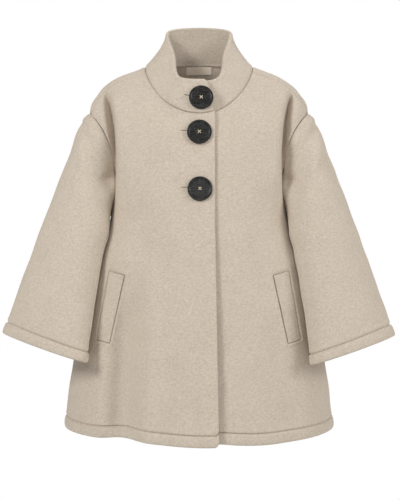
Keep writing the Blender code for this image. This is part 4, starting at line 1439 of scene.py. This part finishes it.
def button_thread(matrix, sizes):
    """Paths of the thread that crosses between a button's holes."""
    top = sizes.button_thick - BUTTON_DISH
    t = np.linspace(-1, 1, 11)
    paths = []
    for diagonal, lift in ((45, 0.0), (135, CROSS_LIFT)):
        turn = math.radians(diagonal)
        run = np.array([math.cos(turn), math.sin(turn), 0])
        beside = np.array([-run[1], run[0], 0])
        for shift in (-CROSS_APART, 0.0, CROSS_APART):
            path = run * (t * BUTTON_HOLE_REACH)[:, None] + beside * shift
            dip = CROSS_DIP * (np.abs(t) > CROSS_DIP_FROM)
            path[:, 2] = top + CROSS_ARCH * (1 - t**4) - dip + lift
            paths.append([matrix @ Vector(p) for p in path])
    return paths


def slit_paths(button):
    """The corded lips of a buttonhole, and the points of the slit between them, along which a dark
    thread paints the shade inside the hole.
    """
    x = button.x + np.linspace(SLIT_COVERED_END, SLIT_END, SLIT_COUNT)
    rise = SLIT_ABOVE_BUTTON
    if button.on == "collar":
        rise = rise / COLLAR_FRONT_HEIGHT
    points, normals = cloth_under(button)(x, np.full_like(x, button.height + rise))
    run = unit(np.gradient(points, axis=0))
    beside = np.cross(normals, run)
    lips = [points + beside * SLIT_APART * k + normals * SLIT_LIP_PROUD for k in (-1, 1)]
    turn = np.linspace(-np.pi / 2, np.pi / 2, 9)[:, None]
    cap = points[-1] + (np.cos(turn) * run[-1] + np.sin(turn) * beside[-1]) * SLIT_APART
    ring = np.concatenate([lips[0], cap + normals[-1] * SLIT_LIP_PROUD, lips[1][::-1]])
    return ring, points + normals * SLIT_PROUD


class COAT_OT_fronts(bpy.types.Operator):
    """Build both front panels and the stitches of their hems"""

    bl_idname = "coat.fronts"
    bl_label = "Fronts"

    def execute(self, context):
        for name, side in SIDES:
            made = front_walls(side, context.scene.coat_sizes)
            add_hemmed(context, f"front_{name}", made)
        return {"FINISHED"}


class COAT_OT_back(bpy.types.Operator):
    """Build the back panel and the stitches of its hem"""

    bl_idname = "coat.back"
    bl_label = "Back"

    def execute(self, context):
        add_hemmed(context, "back", back_walls(context.scene.coat_sizes))
        return {"FINISHED"}


class COAT_OT_sleeves(bpy.types.Operator):
    """Build both sleeves and the stitches of their hems"""

    bl_idname = "coat.sleeves"
    bl_label = "Sleeves"

    def execute(self, context):
        for name, side in SIDES:
            made = sleeve_walls(side, context.scene.coat_sizes)
            add_hemmed(context, f"sleeve_{name}", made)
        return {"FINISHED"}


class COAT_OT_collar(bpy.types.Operator):
    """Build the funnel collar"""

    bl_idname = "coat.collar"
    bl_label = "Collar"

    def execute(self, context):
        walls = collar_walls(context.scene.coat_sizes)
        add_cloth("collar", walls, wool_material(context))
        return {"FINISHED"}


class COAT_OT_welts(bpy.types.Operator):
    """Build the two pocket welts"""

    bl_idname = "coat.welts"
    bl_label = "Pocket welts"

    def execute(self, context):
        wool = wool_material(context)
        for name, side in SIDES:
            walls = welt_walls(side, context.scene.coat_sizes)
            add_cloth(f"pocket_welt_{name}", walls, wool)
        return {"FINISHED"}


class COAT_OT_buttons(bpy.types.Operator):
    """Build the three buttons, their thread and the buttonholes beside them"""

    bl_idname = "coat.buttons"
    bl_label = "Buttons"

    def execute(self, context):
        sizes = context.scene.coat_sizes
        hue = context.scene.coat_colours
        horn = horn_material(context)
        pale = thread_material("button_thread", hue.button_thread)
        cord = thread_material("hem_thread", hue.thread)
        # The slit thread is painted shade: its dark colour stands in for the shade inside each
        # buttonhole
        shade = thread_material("slit_shade", hue.slit)
        for k, button in enumerate(BUTTONS, 1):
            node = button.node
            matrix = button_matrix(button)
            place(f"{node}_horn", button_mesh(node, matrix, sizes), horn, node)
            ring, slit = slit_paths(button)
            threads = (
                (f"{node}_thread", button_thread(matrix, sizes), CROSS_RADIUS, pale),
                (f"buttonhole_{k}", [ring], SLIT_LIP_RADIUS, cord),
                (f"buttonhole_{k}_slit", [slit], SLIT_RADIUS, shade),
            )
            for name, paths, radius, finish in threads:
                place(name, tube_mesh(name, paths, radius, ROUND_SIDES), finish)
        return {"FINISHED"}


class COAT_OT_label(bpy.types.Operator):
    """Build the blank neck label"""

    bl_idname = "coat.label"
    bl_label = "Neck label"

    def execute(self, context):
        walls = label_walls(context.scene.coat_sizes)
        add_cloth("label", walls, label_material(context))
        return {"FINISHED"}


class COAT_OT_stage(bpy.types.Operator):
    """Set up the floor, the soft light, the white surroundings and the camera"""

    bl_idname = "coat.stage"
    bl_label = "Stage"

    def execute(self, context):
        stage = context.scene.coat_stage
        add_floor(context)
        for lamp in LAMPS:
            add_light(f"{lamp.power}_light", getattr(stage, lamp.power), lamp.size, lamp.place)
        set_world(context.scene, stage.ambient)
        add_camera(context.scene, stage.camera_distance)
        context.scene.view_settings.view_transform = "Standard"
        return {"FINISHED"}


def add_floor(context):
    """A plain pale floor, a long way below the hem."""
    bm = bmesh.new()
    bmesh.ops.create_circle(bm, cap_ends=True, segments=FLOOR_SEGMENTS, radius=FLOOR_RADIUS)
    mesh = mesh_of(bm, "floor")
    made, tree, shader = new_material("pale_floor")
    coords = tree.nodes.new("ShaderNodeTexCoord")
    cloud = noise_value(tree, coords.outputs["Object"], FLOOR_CLOUD)
    rough = between(tree, cloud, WHOLE_RANGE, FLOOR_ROUGHNESS)
    tree.links.new(rough, shader.inputs["Roughness"])
    shader.inputs["Base Color"].default_value = (*context.scene.coat_colours.floor, 1)
    mesh.materials.append(made)
    floor = add_object("floor", mesh)
    floor.location.z = FLOOR_HEIGHT


def add_light(name, power, size, location):
    """A square soft light that faces the coat's middle."""
    light = bpy.data.lights.new(name, "AREA")
    light.energy = power
    light.size = size
    lamp = add_object(name, light)
    lamp.location = location
    to_coat = Vector((0, 0, FRAME_CENTRE[1])) - lamp.location
    lamp.rotation_euler = to_coat.to_track_quat("-Z", "Y").to_euler()


def set_world(scene, ambient):
    """White surroundings, which light the coat more weakly than they look."""
    world = bpy.data.worlds.new("white_surroundings")
    world.use_nodes = True
    tree = world.node_tree
    tree.nodes.clear()
    seen = tree.nodes.new("ShaderNodeBackground")
    lit = tree.nodes.new("ShaderNodeBackground")
    lit.inputs["Strength"].default_value = ambient
    for ground in (seen, lit):
        ground.inputs["Color"].default_value = (1, 1, 1, 1)
    path = tree.nodes.new("ShaderNodeLightPath")
    mix = tree.nodes.new("ShaderNodeMixShader")
    out = tree.nodes.new("ShaderNodeOutputWorld")
    tree.links.new(path.outputs["Is Camera Ray"], mix.inputs["Fac"])
    tree.links.new(lit.outputs[0], mix.inputs[1])
    tree.links.new(seen.outputs[0], mix.inputs[2])
    tree.links.new(mix.outputs[0], out.inputs["Surface"])
    scene.world = world


def add_camera(scene, distance):
    """The photograph's view: level, square on to the front."""
    lens = bpy.data.cameras.new("photo_camera")
    lens.sensor_fit = "VERTICAL"
    lens.sensor_height = SENSOR
    lens.lens = SENSOR * distance / FRAME_HEIGHT
    camera = add_object("photo_camera", lens)
    camera.location = (FRAME_CENTRE[0], -distance, FRAME_CENTRE[1])
    camera.rotation_euler = (math.radians(90), 0, 0)
    scene.camera = camera


OPERATORS = (
    COAT_OT_fronts,
    COAT_OT_back,
    COAT_OT_sleeves,
    COAT_OT_collar,
    COAT_OT_welts,
    COAT_OT_buttons,
    COAT_OT_label,
    COAT_OT_stage,
)


class COAT_PT_panel(bpy.types.Panel):
    """The coat's pieces, sizes and colours"""

    bl_idname = "COAT_PT_panel"
    bl_label = "Coat"
    bl_space_type = "VIEW_3D"
    bl_region_type = "UI"
    bl_category = "Coat"

    def draw(self, context):
        layout = self.layout
        for operator in OPERATORS:
            layout.operator(operator.bl_idname)
        scene = context.scene
        for group in (scene.coat_sizes, scene.coat_colours, scene.coat_stage):
            box = layout.box()
            for key in group.bl_rna.properties.keys():
                if key not in ("rna_type", "name"):
                    box.prop(group, key)


CLASSES = (CoatSizes, CoatColours, CoatStage) + OPERATORS + (COAT_PT_panel,)


def register():
    for cls in CLASSES:
        bpy.utils.register_class(cls)
    bpy.types.Scene.coat_sizes = PointerProperty(type=CoatSizes)
    bpy.types.Scene.coat_colours = PointerProperty(type=CoatColours)
    bpy.types.Scene.coat_stage = PointerProperty(type=CoatStage)


def unregister():
    del bpy.types.Scene.coat_stage
    del bpy.types.Scene.coat_colours
    del bpy.types.Scene.coat_sizes
    for cls in reversed(CLASSES):
        bpy.utils.unregister_class(cls)


def main():
    register()
    bpy.ops.coat.fronts()
    bpy.ops.coat.back()
    bpy.ops.coat.sleeves()
    bpy.ops.coat.collar()
    bpy.ops.coat.welts()
    bpy.ops.coat.buttons()
    bpy.ops.coat.label()
    bpy.ops.coat.stage()
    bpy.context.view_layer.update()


if __name__ == "__main__":
    main()
